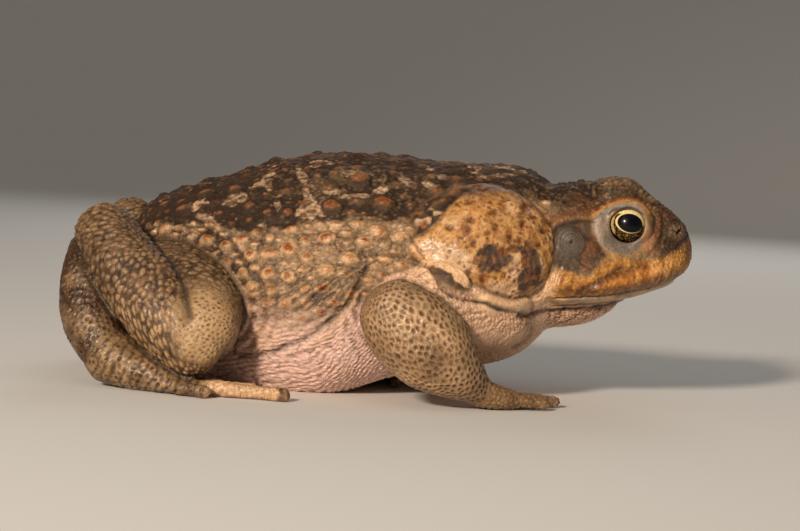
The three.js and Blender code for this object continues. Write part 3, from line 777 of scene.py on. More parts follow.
# Pores, lumps and streaks of the gland. The deep ones are where the photograph shows them.
GLAND_SPOTS = [
    (506, 199, 4.5, 2.5), (494, 211, 5, 3), (471, 218, 5, 3.5), (466, 228, 4, 5), (496, 229, 4, 5),
    (510, 234, 3, 6), (526, 207, 4, 6), (533, 205, 3, 4), (449, 226, 5, 3.5), (469, 202, 5, 3),
    (483, 189, 6, 2.5), (506, 185, 8, 3.5), (551, 222, 3, 4), (543, 231, 4, 3), (486, 235, 3, 3),
    (473, 244, 4, 4), (535, 218, 4, 2.5), (522, 224, 2.5, 5), (468, 272, 4, 3), (484, 279, 4, 4.5),
    (503, 250, 2.5, 5), (538, 246, 3, 4), (461, 236, 2.5, 2), (519, 240, 2, 4),
]
spots = patches(GLAND_SPOTS, soft=0.7, wander=1.6) * gland * facing
porous = gland > 0.5
pores = scatter(points, porous, 1.35, 41)
pore_first, _, pore_which = nearest_two(points, pores, porous)
pore_chance = np.random.default_rng(42).random(len(pores))[pore_which]
pore = step(0.8, 0.2, pore_first / (0.35 + 0.75 * pore_chance**2)) * gland * (pore_chance > 0.35)
rise -= 0.22 * pore + 0.3 * spots
rise += gland * (0.4 * field(5, 43) + 0.34 * field(1.8, 44) + 0.14 * field(0.9, 46))
streaky = noise(points * np.array([0.35, 1, 1]), 1.6, 45)
rise += gland * 0.18 * streaky

# The head. Swellings and ridges are drawn in the photograph's pixels: corners, height, half width.
HEAD_LINES = [
    ([(598, 214), (606, 207), (615, 203.5), (625, 202.5), (634, 203), (642, 206.5), (648, 212)], 0.7, 0.6),
    ([(600, 222), (603, 214), (609, 209.5), (618, 207), (627, 206), (635, 208), (641, 212), (645, 217)],
     0.35, 0.7),
    ([(598, 209), (610, 202), (624, 199.5), (637, 200.5), (648, 206), (660, 212)], -0.5, 0.45),
    ([(609, 193), (624, 192), (636, 195), (647, 202)], -0.3, 0.4),
    ([(606, 198), (620, 196), (633, 198), (645, 203.5)], 0.25, 0.5),
    ([(599, 222), (601, 233), (607, 244), (616, 251), (628, 254), (640, 251), (649, 243), (653, 232)],
     0.45, 1.3),
    ([(590, 214), (594, 230), (600, 246), (609, 258), (626, 263), (645, 259), (656, 247)], -0.4, 0.7),
    ([(657, 214), (659, 226), (657, 238), (651, 248)], 0.55, 0.9),
    ([(663, 214), (664, 228), (661, 244), (656, 256)], -0.45, 0.7),
    ([(653, 203), (667, 213), (681, 226)], 0.5, 1.0),
    ([(553, 223), (565, 217), (580, 213.5), (592, 214)], 0.6, 1.2),
    ([(554, 228), (567, 222.5), (582, 220), (594, 221)], -0.45, 0.6),
    ([(563, 275), (578, 273), (592, 267), (604, 262), (617, 259)], 0.55, 1.2),
    ([(584, 291), (594, 285), (606, 277), (620, 268)], -0.7, 0.9),
    ([(600, 289), (625, 284), (650, 277), (675, 267)], 0.4, 1.6),
    ([(552, 232), (549, 250), (543, 268), (536, 281)], -0.6, 0.6),
    ([(558, 230), (554, 252), (549, 272), (546, 286)], -0.35, 0.45),
    ([(562, 262), (557, 277), (553, 292)], -0.25, 0.4),
    ([(550, 262), (545, 276), (540, 288)], -0.22, 0.35),
    ([(556, 264), (551, 280), (547, 292)], -0.22, 0.35),
    ([(569, 270), (563, 281), (558, 292)], -0.2, 0.35),
    ([(555, 240), (552, 256), (547, 270)], -0.25, 0.35),
    ([(607, 181), (618, 179), (630, 182), (641, 190), (650, 199)], 0.4, 1.0),
    ([(608, 186), (622, 187), (636, 193), (648, 202)], -0.3, 0.5),
    ([(610, 192), (625, 193), (638, 197)], -0.2, 0.4),
    ([(604, 181), (603, 190), (598, 199)], -0.4, 0.7),
    ([(566, 190), (580, 186), (594, 183)], 0.3, 1.0),
]
for corners, tall, wide in HEAD_LINES:
    rise += tall * band(corners, wide, 0.15) * face * facing
rise += face * 0.7 * patch(630, 186, 22, 9, 20, soft=0.8)
rise -= face * 0.5 * patch(599, 187, 6, 10, 0, soft=0.8)
rise += face * facing * 0.7 * patch(563, 284, 7, 6, soft=0.8)
rise += face * facing * 0.45 * patch(676, 233, 9, 8, soft=0.8)
nostril_rim = face * facing * patch(675.8, 232.5, 8, 7.5, soft=0.35, wander=0.2)
nostril_slit = face * facing * patch(677.5, 231.6, 3.6, 1.7, 58, soft=0.4, wander=0)
rise += 0.3 * nostril_rim - 0.9 * nostril_slit
rise -= face * facing * 0.35 * patch(572, 246, 19, 20, soft=0.5)
rise += face * (0.12 * field(1.3, 61) + 0.16 * field(2.6, 66))
EAR_CENTRE = np.array([48.1, 26.3, 43.2])
EAR_OUT = np.array([0.2, 0.97, 0.08]) / np.linalg.norm([0.2, 0.97, 0.08])
ear_offset = fold_over(points) - EAR_CENTRE
from_ear = np.linalg.norm(ear_offset - np.outer(ear_offset @ EAR_OUT, EAR_OUT), axis=1)
from_ear *= 1 + 0.025 * field(3, 64)
near_ear = (np.abs(ear_offset @ EAR_OUT) < 4) * face
in_ear = step(4.6, 4.0, from_ear) * near_ear
on_ear = step(4.2, 3.6, from_ear) * near_ear
rings = np.cos(2 * math.pi * from_ear / 0.9) * (0.7 + 0.3 * field(1.5, 65))
rise += on_ear * 0.07 * rings * step(0.2, 0.8, from_ear)
rise += 0.25 * np.exp(-(((from_ear - 3.5) / 0.4) ** 2)) * near_ear
rise -= 0.3 * step(0.9, 0.2, from_ear) * near_ear

membrane = patches([(619, 237, 25, 18, -12), (601, 222, 9, 15, -25)], wander=0.4)
rough = head * (1 - around_eye) * (1 - 0.85 * membrane)
bump_cell, bump_tip, bump_chance, _ = granules(
    points, rough * (1 - in_ear) * unit(0.5 + 0.5 * crown + 0.4 * step(650, 662, across)), 0.85, 0.32,
    ABOVE, 1.3, 62)

rise -= np.maximum(fold * (1 - np.maximum(lobe, seam)), grooves)
rise += 0.1 * field(3.0, 71)
inner_eye = step(6.9, 6.1, from_eye)
rise *= 1 - inner_eye
hollow = (net.soften(rise, 5) - rise) * (1 - inner_eye)
points += normals * rise[:, None]
points[:, 2] = np.maximum(points[:, 2], 0)

# The upper lid comes down over the eye: its skin turns about the eye's centre.
LID_DROP = math.radians(6)
side = np.sign(points[:, 1])
out_from = points[:, 1] * side - EYE_CENTRE[1]
up_from = points[:, 2] - EYE_CENTRE[2]
lid_turn = LID_DROP * step(9.5, 6.8, from_eye) * step(0.5, 3.5, up_from) * step(0, 2, out_from)
c, s = np.cos(lid_turn), np.sin(lid_turn)
points[:, 1] = side * (EYE_CENTRE[1] + out_from * c + up_from * s)
points[:, 2] = EYE_CENTRE[2] + up_from * c - out_from * s

across, down = picture_place(points)

# Colour marks of the torso.
lay("shade", unit(fold * 1.2) * 0.8)
lay("shade", unit(grooves * 1.3) * 0.85)
lay("rosy", unit(flank + 0.4 * chest))
lay("pale", belly)
darkness = 1.05 + 0.25 * step(300, 240, across) + 0.3 * field(6, 81) - 0.25 * fine_tip * (fine_chance > 0.5)
lay("charcoal", back * darkness - 0.15 * wart_body)
dark_lines = step(0.12, -0.2, noise(points * np.array([1, 1, 0.6]), 2.2, 68)) * (1 - 0.9 * wart_body)
# Dark between the warts: partly the skin's dark network, partly painted shade in the valleys.
lay("charcoal", rear_flank * (0.62 * dark_lines + 0.45 * between))
lay("umber", rear_flank * 0.5 * blots(0, 0.5, 3, 69) * (1 - wart_body))
lay("charcoal", flank * between * 0.45 + pelt * (1 - torso) * 0.5)
PALE_MARKS = [
    (268, 183, 4, 9, 15), (301, 175, 4.5, 11, 25), (357, 174, 17, 4, -5), (309, 198, 5, 12, 20),
    (239, 197, 9, 5, 0), (277, 207, 4, 7, 20), (382, 190, 8, 3, 0), (356, 195, 18, 2.5, 4),
    (331, 191, 8, 4, 0), (282, 192, 8, 1.8, 35), (228, 203, 8, 3, 0), (408, 181, 14, 4, -25),
    (440, 177, 11, 3, -10), (383, 189, 5, 4, 0), (430, 186, 9, 3, -25), (450, 197, 5, 3, 20),
    (497, 176, 20, 2.5, 3), (214, 226, 9, 3, -30), (240, 243, 4, 8, 15), (262, 228, 4, 5, 0),
    (206, 219, 10, 4, -20), (170, 226, 12, 3, -15), (190, 233, 12, 3.5, -30), (228, 268, 4, 9, 25),
    (262, 338, 20, 14, -8), (345, 312, 6, 16, -35), (320, 340, 14, 4, 25), (380, 262, 17, 3.5, 8),
    (253, 250, 4, 6, 0), (330, 226, 26, 5, -3), (400, 226, 12, 4, 0),
]
pale_marks = patches(PALE_MARKS, wander=1.4)
random_marks = step(0.38, 0.53, field(6, 82) + 0.25 * fray) * back * step(0.3, 0.6, normals[:, 2])
speckle = blots(0.35, 0.6, 1.9, 83) * back * 0.4
marked = np.maximum(pale_marks * (1 - 0.7 * between), np.maximum(random_marks, speckle))
lay("cream", marked * pelt * (1 - wart_body * 0.75) * (0.85 + 0.4 * fray) * (0.75 + 0.25 * fine))
lay("umber", pelt * wart_ring * (0.08 * back + 0.7 * big))
lay("charcoal", torso * big * step(1.25, 0.9, flat) * back * 0.9)
lay("rust", wart_top * pelt * (1 + 0.4 * flank))
lay("rust", flank * 0.45 * fine_tip * (fine_chance > 0.8))
lay("cream", wart_body * flank * step(0.1, 0.5, pointed) * (0.25 + 0.4 * fray))
# Painted highlights on the flank's wart tops.
lay("light", wart_body * flank * step(0.15, 0.6, pointed) * 0.55)
lay("umber", flank * step(0.4, 0.05, top_spot) * wart_body * (sizes[which, 2] > 0.6) * 0.6)
lay("umber", belly * 0.6 * crepe_tip * (crepe_chance > 0.88))
lay("umber", belly * blots(0.35, 0.55, 1.6, 133) * step(372, 350, down + 0.25 * (across - 300)) * 0.5)
# Painted shade in the belly's wrinkle troughs and between the chest's granules; the belly and chest
# brightened with painted light.
lay("crevice", belly * (0.3 * (1 - crepe) + 0.5 * step(0.0, -0.8, wrinkles)))
lay("light", unit(belly * 0.3 + coarse_area))
chest_lines = (0.5 + 0.3 * throat) * (1 - coarse) + 0.25 * step(0.0, -0.8, chest_wave)
lay("crevice", coarse_area * chest_lines + 0.2 * chest * step(0.0, -0.8, ripple))
lay("umber", coarse_area * coarse_tip * (coarse_chance > 0.6) * 0.5)
# Throat, chest and upper arm paler: partly their pale skin, partly painted light.
lay("pale", throat * 0.8 + chest * 0.7 + 0.6 * upper_arm)
lay("cream", (throat * 0.6 + chest * 0.7 + upper_arm * 0.7) * (0.9 + 0.4 * field(3, 87)))
# Painted shade in the valleys between warts, in the creases, in the troughs of the fan and the following
# folds, and between the back's granules.
valleys = np.maximum(0.5 * between, (0.35 * (1 - fine) + 0.12) * (1 - wart_body))
valleys = np.maximum(valleys, 0.75 * crease + 0.45 * fan * step(0.1, -0.8, fan_wave))
lay("crevice", (flank + 0.4 * fan) * valleys * (1.1 + 0.6 * field(5, 85)) + follow * 1.3)
lay("umber", flank * (1 - wart_body) * step(0.1, 0.6, field(1.5, 86) + 0.4 * between) * 0.4)
lay("crevice", back * (1 - fine) * 0.35)
lay("umber", flank * blots(0.15, 0.6, 2.4, 84) * 0.25)

# Limbs: pale nets with dark spots in them and painted highlights on their ridges, and painted shade in the
# valleys between pale lumps.
netlike = unit(forearm + knee_skin + tarsus + foot * (1 - toe_area))
lumpy = limb * (1 - netlike)
knee_pale = unit(shank + thigh) * patch(204, 328, 32, 40, 0, soft=0.7, wander=1.5)
dark_side = 0.85 + 0.4 * field(8, 91)
tips = unit(0.35 + 0.8 * lump_chance + 0.3 * field(6, 132))
plain_tip = (1 - 0.5 * shank_mid) * (1 - 0.75 * shank_low) * (1 - 0.5 * hand) * (1 - 0.4 * knee_skin)
lay("umber", limb * step(0.1, 0.8, lump_tip) * tips * dark_side * plain_tip * (0.85 - 0.3 * forearm))
lay("cream", forearm * (0.15 + 0.5 * field(4, 119)) + knee_pale * 0.15)
lay("rosy", forearm * 0.6)
# Painted highlights on the net's ridges; the forearm darker in tone, and darker off its ridges as painted
# shade.
lay("light", netlike * mesh_line * (0.3 + 0.6 * field(3, 97)) + knee_pale * 0.1)
lay("crevice", forearm * (0.3 + 0.35 * field(7, 88) + 0.25 * (1 - mesh_line)))
lay("rust", forearm * lump_tip * (lump_chance > 0.25) * 0.5)
# Painted shade in the valleys between the lumps.
lay("crevice", lumpy * (1 - lump) * (0.6 + 0.25 * unit(shank + thigh)))
lay("umber", (shank + thigh) * (1 - knee_skin) * step(0.12, 0.4, field(1.7, 131) + 0.3 * (0.5 - lump)) * 0.75)
dusky = unit(shank_top + shank_mid + 0.6 * shank_low + 0.5 * tarsus + thigh * (1 - knee_area))
dusky *= 1 - 0.6 * knee_pale
lay("crevice", dusky * (0.45 + 0.35 * field(6, 94)) + 0.3 * hand)
# The tarsus darker in tone; the foot darkened as painted shadow under the shank, in bands.
lay("crevice", (1.15 * tarsus + 0.7 * foot) * (0.7 + 0.5 * field(5, 120)) * (1 - toe_area))
foot_bands = wave((across + 0.4 * down) / 10 + 0.9 * field(4, 140))
lay("crevice", foot * (1 - toe_area) * (0.5 + 0.4 * foot_bands))
lay("umber", tarsus * blots(0.15, 0.45, 1.5, 138) * 0.6)
toe_bands = wave(across / 9.5 + 0.6 * field(3, 89))
lay("cream", toe_area * (0.95 + 0.2 * toe_bands))
# Painted highlight over the toes.
lay("light", toe_area * 0.8)
lay("umber", toe_area * (step(275, 281, across) * 0.8 + 0.3 * step(0.6, 1.0, toe_bands)))
lay("umber", (hand + 0.5 * foot * (1 - toe_area)) * blots(0.1, 0.6, 2.2, 121) * 0.5)
lay("cream", unit(hand + foot) * blots(0.2, 0.6, 2.6, 122) * 0.4)
lay("amber", hand * 0.08)
lay("umber", dusky * step(0.1, 0.7, field(3.4, 96) + 0.4 * (1 - lump)) * 0.5)
# Painted highlights on the tops of the shank's lumps.
lay("light", unit(shank_top + shank_mid + shank_low) * step(0.3, 0.9, lump) * (lump_chance > 0.4) * 0.65)
lay("rosy", dusky * blots(0.1, 0.6, 4, 98) * 0.7)
lay("rust", limb * lump_tip * (lump_chance > 0.92) * 0.6)
lay("wet", wart_body * flank * (0.5 + 0.6 * pointed) + 0.3 * flank)
lay("wet", limb * (0.3 + 0.5 * lump) + netlike * mesh_line * 0.6)

# Gland. Its lower lobe runs on over the shoulder.
for name in ("crevice", "umber", "rosy", "light", "charcoal", "pale", "shade"):
    paint[name] *= 1 - np.maximum(lobe, seam)
gland = np.maximum(gland, lobe) * (1 - beyond)
lay("charcoal", beyond * (0.95 + 0.3 * field(3, 141)))
lay("rust", beyond * blots(0.15, 0.5, 2.6, 142) * 0.8)
lay("cream", beyond * blots(0.2, 0.5, 2.4, 143) * 0.8)
lay("amber", gland * (0.66 + 0.28 * field(3, 123)))
lay("rosy", gland)
pale_gland = patches([(440, 257, 34, 15, -14), (513, 267, 9, 15, 10), (503, 289, 18, 9),
                      (456, 287, 11, 4, -8), (540, 262, 4, 9, 20)])
lay("cream", gland * pale_gland * 0.9)
lay("cream", lobe * 0.95)
# Painted highlight on the lobe.
lay("light", lobe * 0.45)
lay("cream", gland * blots(-0.15, -0.5, 3, 92) * 0.4)
torn = 0.35 * field(1.5, 99) + 0.2 * field(0.8, 135)
torn -= lobe * (0.1 + 0.3 * field(2.2, 145))
for x, y, long, wide, turn in [(446, 281, 23, 7, -31), (493, 259, 16, 12, 10), (531, 264, 9, 22, 12),
                               (524, 281, 7, 10, 0), (471, 293, 15, 4.5, -10), (513, 248, 8, 4, 0)]:
    ragged = step(0.25, 0.45, patch(x, y, long, wide, turn, soft=0.6, wander=1.2) + torn)
    ragged *= patch(x, y, 1.4 * long, 1.5 * wide, turn)
    for name in ("cream", "light"):
        paint[name] *= 1 - 0.85 * ragged * gland
    lay("slate", gland * ragged * 0.15)
    lay("charcoal", gland * ragged * (0.95 + 0.35 * fray))
    lay("rust", gland * ragged * blots(0.15, 0.5, 1.3, 136) * 0.7)
lay("rust", gland * step(0.0, 0.5, field(2.2, 93) + 0.3 * fray) * patch(505, 213, 62, 40, 0, soft=0.6) * 0.6)
top_edge = step(200, 186, down - 0.004 * (across - 500) ** 2 + 2 * wander_y)
lay("rust", gland * top_edge * (0.75 + 0.4 * fray))
lay("umber", gland * top_edge * blots(-0.2, 0.4, 2.2, 115) * 0.75)
# Darker tone along the gland's top edge, and painted shade in the troughs of its streaks.
lay("crevice", gland * (top_edge * 0.4 + 0.35 * step(0.1, -0.6, streaky)))
lay("rust", spots * (0.95 + 0.8 * fray))
lay("umber", spots * step(-0.25, 0.2, field(0.9, 144) + 0.3 * fray) * 0.6)
lay("rust", gland * pore * 0.45)
lay("umber", gland * pore * np.where(pore_chance > 0.9, 0.6, 0.05))
lay("rust", gland * blots(0.15, 0.6, 1.3, 124) * step(250, 225, down) * 0.7)
clusters = blots(-0.2, 0.4, 4, 126) * step(440, 480, across + 0.4 * (250 - down))
lay("rust", gland * blots(0.25, 0.5, 1.6, 127) * clusters)
lay("umber", gland * blots(0.3, 0.55, 1.0, 128) * clusters * 0.75)
dribble = noise(points * np.array([1, 1, 0.4]), 1.5, 95)
lay("rust", gland * step(0.1, 0.6, dribble) * step(505, 540, across) * 0.7)
lay("wet", gland * (0.35 + 0.6 * pale_gland))

# Head.
lip_top = np.interp(across, [545, 564, 590, 608, 620, 650, 665, 676, 690],
                    [274, 275, 278, 265, 259, 260, 257, 250, 238])
lip = head * step(-5, 4, down + wander_y * 1.4 + 3 * fray - lip_top)
streaks = noise(points * np.array([1, 1, 0.35]), 1.6, 102)
lay("amber", lip * (0.95 + 0.2 * field(4, 101)))
lay("cream", lip * blots(0.1, 0.6, 3.2, 104) * 0.35)
lay("cream", head * step(565, 543, across + 3 * wander_x) * step(264, 280, down + 2 * fray) * 0.35)
lay("umber", lip * band([(586, 292), (597, 284), (607, 277), (622, 267)], 0.9) * 0.8)
# Painted highlights along the lip's streaks and ridges.
lay("light", lip * step(0.1, -0.5, streaks) * 0.6)
lay("light", lip * band([(604, 285), (625, 279), (650, 272), (678, 259)], 1.3) * 0.8)
lay("light", lip * band([(567, 277), (580, 277), (594, 270), (608, 264), (624, 261)], 1.0) * 0.7)
lay("light", head * band([(563, 274), (578, 272), (592, 266), (606, 261)], 0.8) * 0.5)
lay("rust", lip * band([(572, 291), (600, 288), (630, 285), (662, 277)], 0.9) * (0.7 + 0.9 * fray))
lay("rust", lip * step(0.0, 0.45, streaks) * 0.7)
lay("umber", lip * blots(0.2, 0.6, 1.4, 105) * 0.5)
lay("umber", lip * step(2.2, 0.3, line_distance([(565, 294), (640, 290), (688, 275)])) * 0.6)
lay("rust", lip * patches([(569, 289, 4, 3), (577, 292, 4, 3), (592, 291, 6, 2.5), (583, 287, 3, 2)]) * 0.9)
lay("shade", face * band([(556, 227), (552, 240), (549, 252), (545, 266), (538, 281)], 0.7) * 0.85)
ear_zone = face * patch(577, 247, 31, 27, -8, soft=0.12) * (1 - lip)
lay("charcoal", ear_zone * 0.8)
lay("slate", ear_zone * (0.22 + 0.3 * on_ear))
lay("umber", ear_zone * blots(-0.1, 0.4, 1.4, 109) * 0.55)
lay("rust", ear_zone * blots(0.1, 0.6, 2.2, 116) * (1 - on_ear) * 0.6)
lay("rosy", ear_zone * blots(0.0, -0.5, 1.2, 110) * 0.6)
lay("umber", on_ear * unit(0.25 - 0.3 * rings))
lay("umber", on_ear * step(0.9, 0.3, from_ear) * 0.9)
lay("charcoal", head * crown * (0.5 + 0.35 * field(2.2, 103)))
lay("umber", head * crown * blots(0.1, 0.6, 1.4, 117) * 0.6)
# Darker behind and above the eye.
lay("crevice", head * step(600, 588, across) * step(224, 214, down) * 0.5)
lay("cream", head * crown * blots(0.1, 0.5, 1.5, 111) * 0.5)
snout = head * step(644, 668, across + 3 * wander_x + 3 * fray) * (1 - lip)
lay("charcoal", snout * (0.75 + 0.25 * field(2.5, 112)))
lay("umber", snout * (0.35 + 0.6 * field(1.4, 106)))
lay("rust", snout * blots(0.2, 0.6, 2.4, 118) * 0.5)
lay("rosy", snout * blots(0.2, 0.6, 1.2, 113) * 0.6)
lay("amber", head * step(682, 688, across + 0.2 * (down - 245)) * 0.6)
cheek = head * patch(600, 245, 20, 32, 15) * (1 - lip)
lay("amber", cheek * 0.55)
lay("rust", cheek * blots(0.0, 0.5, 1.6, 107) * 0.55)
lay("rust", face * band([(554, 221), (566, 216), (580, 212), (594, 211)], 1.5) * (0.65 + 0.3 * fray))
lay("rust", head * patch(582, 206, 20, 9, 10, wander=1.5) * blots(-0.3, 0.3, 1.6, 114) * 0.7)
lay("umber", head * patch(572, 205, 24, 9, 5, wander=1.5) * blots(0.0, 0.4, 2.2, 125) * 0.6)
BROW = [(594, 214), (604, 206), (615, 201.3), (625, 200.2), (634, 200.5), (642, 204.5), (649, 211),
        (652, 218)]
lay("amber", head * band(BROW, 0.75) * 0.95)
brow = head * band(BROW, 0.55)
# Painted highlight along the brow ridge.
lay("light", brow * 0.6)
lay("rust", head * band([(x, y - 1.6) for x, y in BROW], 0.4) * 0.95)
for line in ([(598, 205), (610, 198), (624, 196), (637, 197), (647, 201), (658, 207), (670, 214)],
             [(606, 191), (620, 190), (634, 193.5), (646, 200)], [(612, 184), (624, 186), (636, 191)],
             [(554, 229), (567, 223.5), (582, 221), (594, 221)]):
    lay("shade", head * band(line, 0.5) * 0.7)
lay("rust", head * band([(650, 203.5), (660, 208), (668, 211.5), (674, 216.5)], 0.5) * 0.9)
lay("amber", head * band([(613, 183), (620, 187), (628, 190)], 0.5) * 0.9)
lay("rust", head * patch(659, 228, 4, 15, -10) * 0.6)
eye_skin = np.maximum(patch(619, 237, 24, 17, -12, soft=0.15, wander=0.4),
                      patch(601, 222, 8, 15, -25, soft=0.25, wander=0.4))
eye_skin *= head * (1 - lip) * step(202, 205, down)
UPPER_LID = [(602, 219), (607, 211.5), (613, 207), (620, 205), (628, 204.3), (635, 206), (641, 210.5)]
lid = head * band(UPPER_LID, 0.5, 0.1)
lay("slate", np.maximum(eye_skin * step(660, 640, across) * 0.85, lid))
# Painted highlight on the upper lid's roll.
lay("light", lid * 0.7)
lay("amber", head * (1 - lip) * patch(640, 243, 14, 8, 20, soft=0.5, wander=0.5) * 0.5)
UNDER_LID = [(609, 214), (613, 210.5), (620, 208.5), (629, 208), (637, 210), (643, 215)]
lay("shade", head * band(UNDER_LID, 0.35, 0.1) * 0.9)
lay("peach", head * patch(652, 240, 8, 15, -8, soft=0.4, wander=0.5) * (1 - lip))
# Painted highlight on the wet skin left of the eye.
lay("light", eye_skin * patch(602, 222, 9, 15, -20, soft=0.6))
lay("wet", eye_skin)
lay("shade", nostril_slit * 1.4)
for name in ("charcoal", "umber", "rust"):
    paint[name] *= 1 - 0.6 * nostril_rim
lay("slate", nostril_rim * 0.35)
lay("amber", nostril_rim * 0.3)
lay("shade", head * step(6.2, 5.9, from_eye) * 0.8)
lay("umber", lip * band([(582, 291), (593, 286), (605, 279), (617, 271)], 1.1, 0.6) * 0.7)
lay("rust", lip * band([(578, 291), (590, 288), (606, 281), (622, 272)], 1.5, 0.6) * 0.8)
for name in ("charcoal", "umber", "slate"):
    paint[name] *= 1 - 0.5 * jaw_band
lay("amber", jaw_band * 0.5)
cheek_pad = head * patch(564, 280, 14, 11, 10, soft=0.5, wander=1.2)
for name, share in (("cream", 0.75), ("light", 0.6), ("rosy", 0.6)):
    paint[name] *= 1 - share * cheek_pad
lay("amber", cheek_pad * 0.9)
lay("rust", cheek_pad * blots(0.2, 0.6, 1.6, 139) * 0.5)
lay("cream", jaw_band * (0.55 + 0.3 * field(2, 129)))
lay("umber", jaw_band * step(0.2, 0.6, noise(points * np.array([1, 1, 0.5]), 1.2, 130)) * 0.5)
lay("umber", head * (1 - lip) * bump_tip * (bump_chance > 0.5) * 0.5 * (1 - eye_skin) * (1 - on_ear))
# Painted shade between the head's bumps.
lay("crevice", rough * (1 - bump_cell) * (0.35 + 0.3 * crown + 0.25 * snout))
lay("amber", jaw * 0.5)
lay("cream", jaw * 0.6)
lay("umber", jaw * blots(-0.1, 0.6, 2.5, 108) * 0.6)
# Painted highlight in a thin bluish band below the mouth.
lay("slate", jaw * patch(586, 298, 17, 3, 5) * 0.8)
lay("light", jaw * patch(586, 298, 17, 3, 5))
lay("cream", roll)
# Painted highlight on the cream roll.
lay("light", roll * 0.5)
lay("umber", roll * patch(536, 303, 10, 4, 0) * 0.5)
lay("wet", unit(face + jaw) * 0.6 + roll)
paint["wet"] *= 1 - 0.9 * step(0.35, 0.8, normals[:, 2])
for name in ("umber", "charcoal", "pale", "rosy"):
    paint[name] *= 1 - 0.8 * roll
paint["slate"] *= 1 - brow
paint["charcoal"] *= (1 - eye_skin) * (1 - brow)
paint["rust"] *= 1 - eye_skin
paint["umber"] *= 1 - 0.9 * eye_skin
paint["charcoal"] *= 1 - step(0.2, 0.8, paint["rust"]) * 0.6
# Painted shade in the hollows of the relief and painted highlights on its tops.
lay("crevice", unit(hollow / 0.22) * 0.75)
lay("light", unit(-hollow / 0.3) * 0.4 * (1 - 0.5 * back))


# Materials. A wrapped socket takes part in arithmetic.

class Value:
    """A number that changes over the surface, for use in Python expressions."""

    def __init__(self, finish, socket):
        self.finish = finish
        self.socket = socket

    def _with(self, operation, first, second):
        return self.finish.node("Math", {"operation": operation}, {0: first, 1: second})

    def __add__(self, other):
        return self._with("ADD", self, other)

    def __sub__(self, other):
        return self._with("SUBTRACT", self, other)

    def __rsub__(self, other):
        return self._with("SUBTRACT", other, self)

    def __mul__(self, other):
        return self._with("MULTIPLY", self, other)

    def __truediv__(self, other):
        return self._with("DIVIDE", self, other)

    def __rtruediv__(self, other):
        return self._with("DIVIDE", other, self)

    def __pow__(self, other):
        return self._with("POWER", self, other)

    __radd__ = __add__
    __rmul__ = __mul__


class Finish:
    """A material and the nodes in it."""

    def __init__(self, name, **constants):
        self.material = bpy.data.materials.new(name)
        self.material.use_nodes = True
        self.tree = self.material.node_tree
        self.shader = self.tree.nodes["Principled BSDF"]
        for socket, value in constants.items():
            self.shader.inputs[socket.replace("_", " ").title().replace("Ior", "IOR")].default_value = value

    def node(self, kind, settings=None, sockets=None, out=0):
        """Adds a node, sets it up, fills its sockets with numbers, colours or links, and wraps one result."""
        made = self.tree.nodes.new("ShaderNode" + kind)
        for key, value in (settings or {}).items():
            setattr(made, key, value)
        for key, value in (sockets or {}).items():
            if isinstance(value, Value):
                self.tree.links.new(value.socket, made.inputs[key])
            else:
                made.inputs[key].default_value = value
        return Value(self, made.outputs[out])

    def attribute(self, name):
        return self.node("Attribute", {"attribute_name": name}, out="Fac")

    def noise(self, scale, detail=3.0, roughness=0.55, at=None):
        sockets = {"Scale": scale, "Detail": detail, "Roughness": roughness}
        sockets["Vector"] = at or self.node("TexCoord", out="Object")
        return self.node("TexNoise", None, sockets, out="Fac")

    def ramp(self, value, low, high):
        """0 below low, 1 above high, smooth between."""
        sockets = {"Value": value, "From Min": low, "From Max": high}
        return self.node("MapRange", {"interpolation_type": "SMOOTHSTEP"}, sockets)

    def mix(self, amount, first, second, blend="MIX"):
        settings = {"data_type": "RGBA", "blend_type": blend, "clamp_factor": True}
        return self.node("Mix", settings, {0: amount, 6: first, 7: second}, out=2)

    def link(self, value, socket):
        self.tree.links.new(value.socket, self.shader.inputs[socket])

    def bump(self, height, strength, distance):
        sockets = {"Height": height, "Strength": strength, "Distance": distance}
        self.link(self.node("Bump", None, sockets), "Normal")


def tone(code):
    """A colour from its web code, in linear light."""
    parts = [int(code[i : i + 2], 16) / 255 for i in (0, 2, 4)]
    return tuple(p / 12.92 if p < 0.04045 else ((p + 0.055) / 1.055) ** 2.4 for p in parts) + (1.0,)


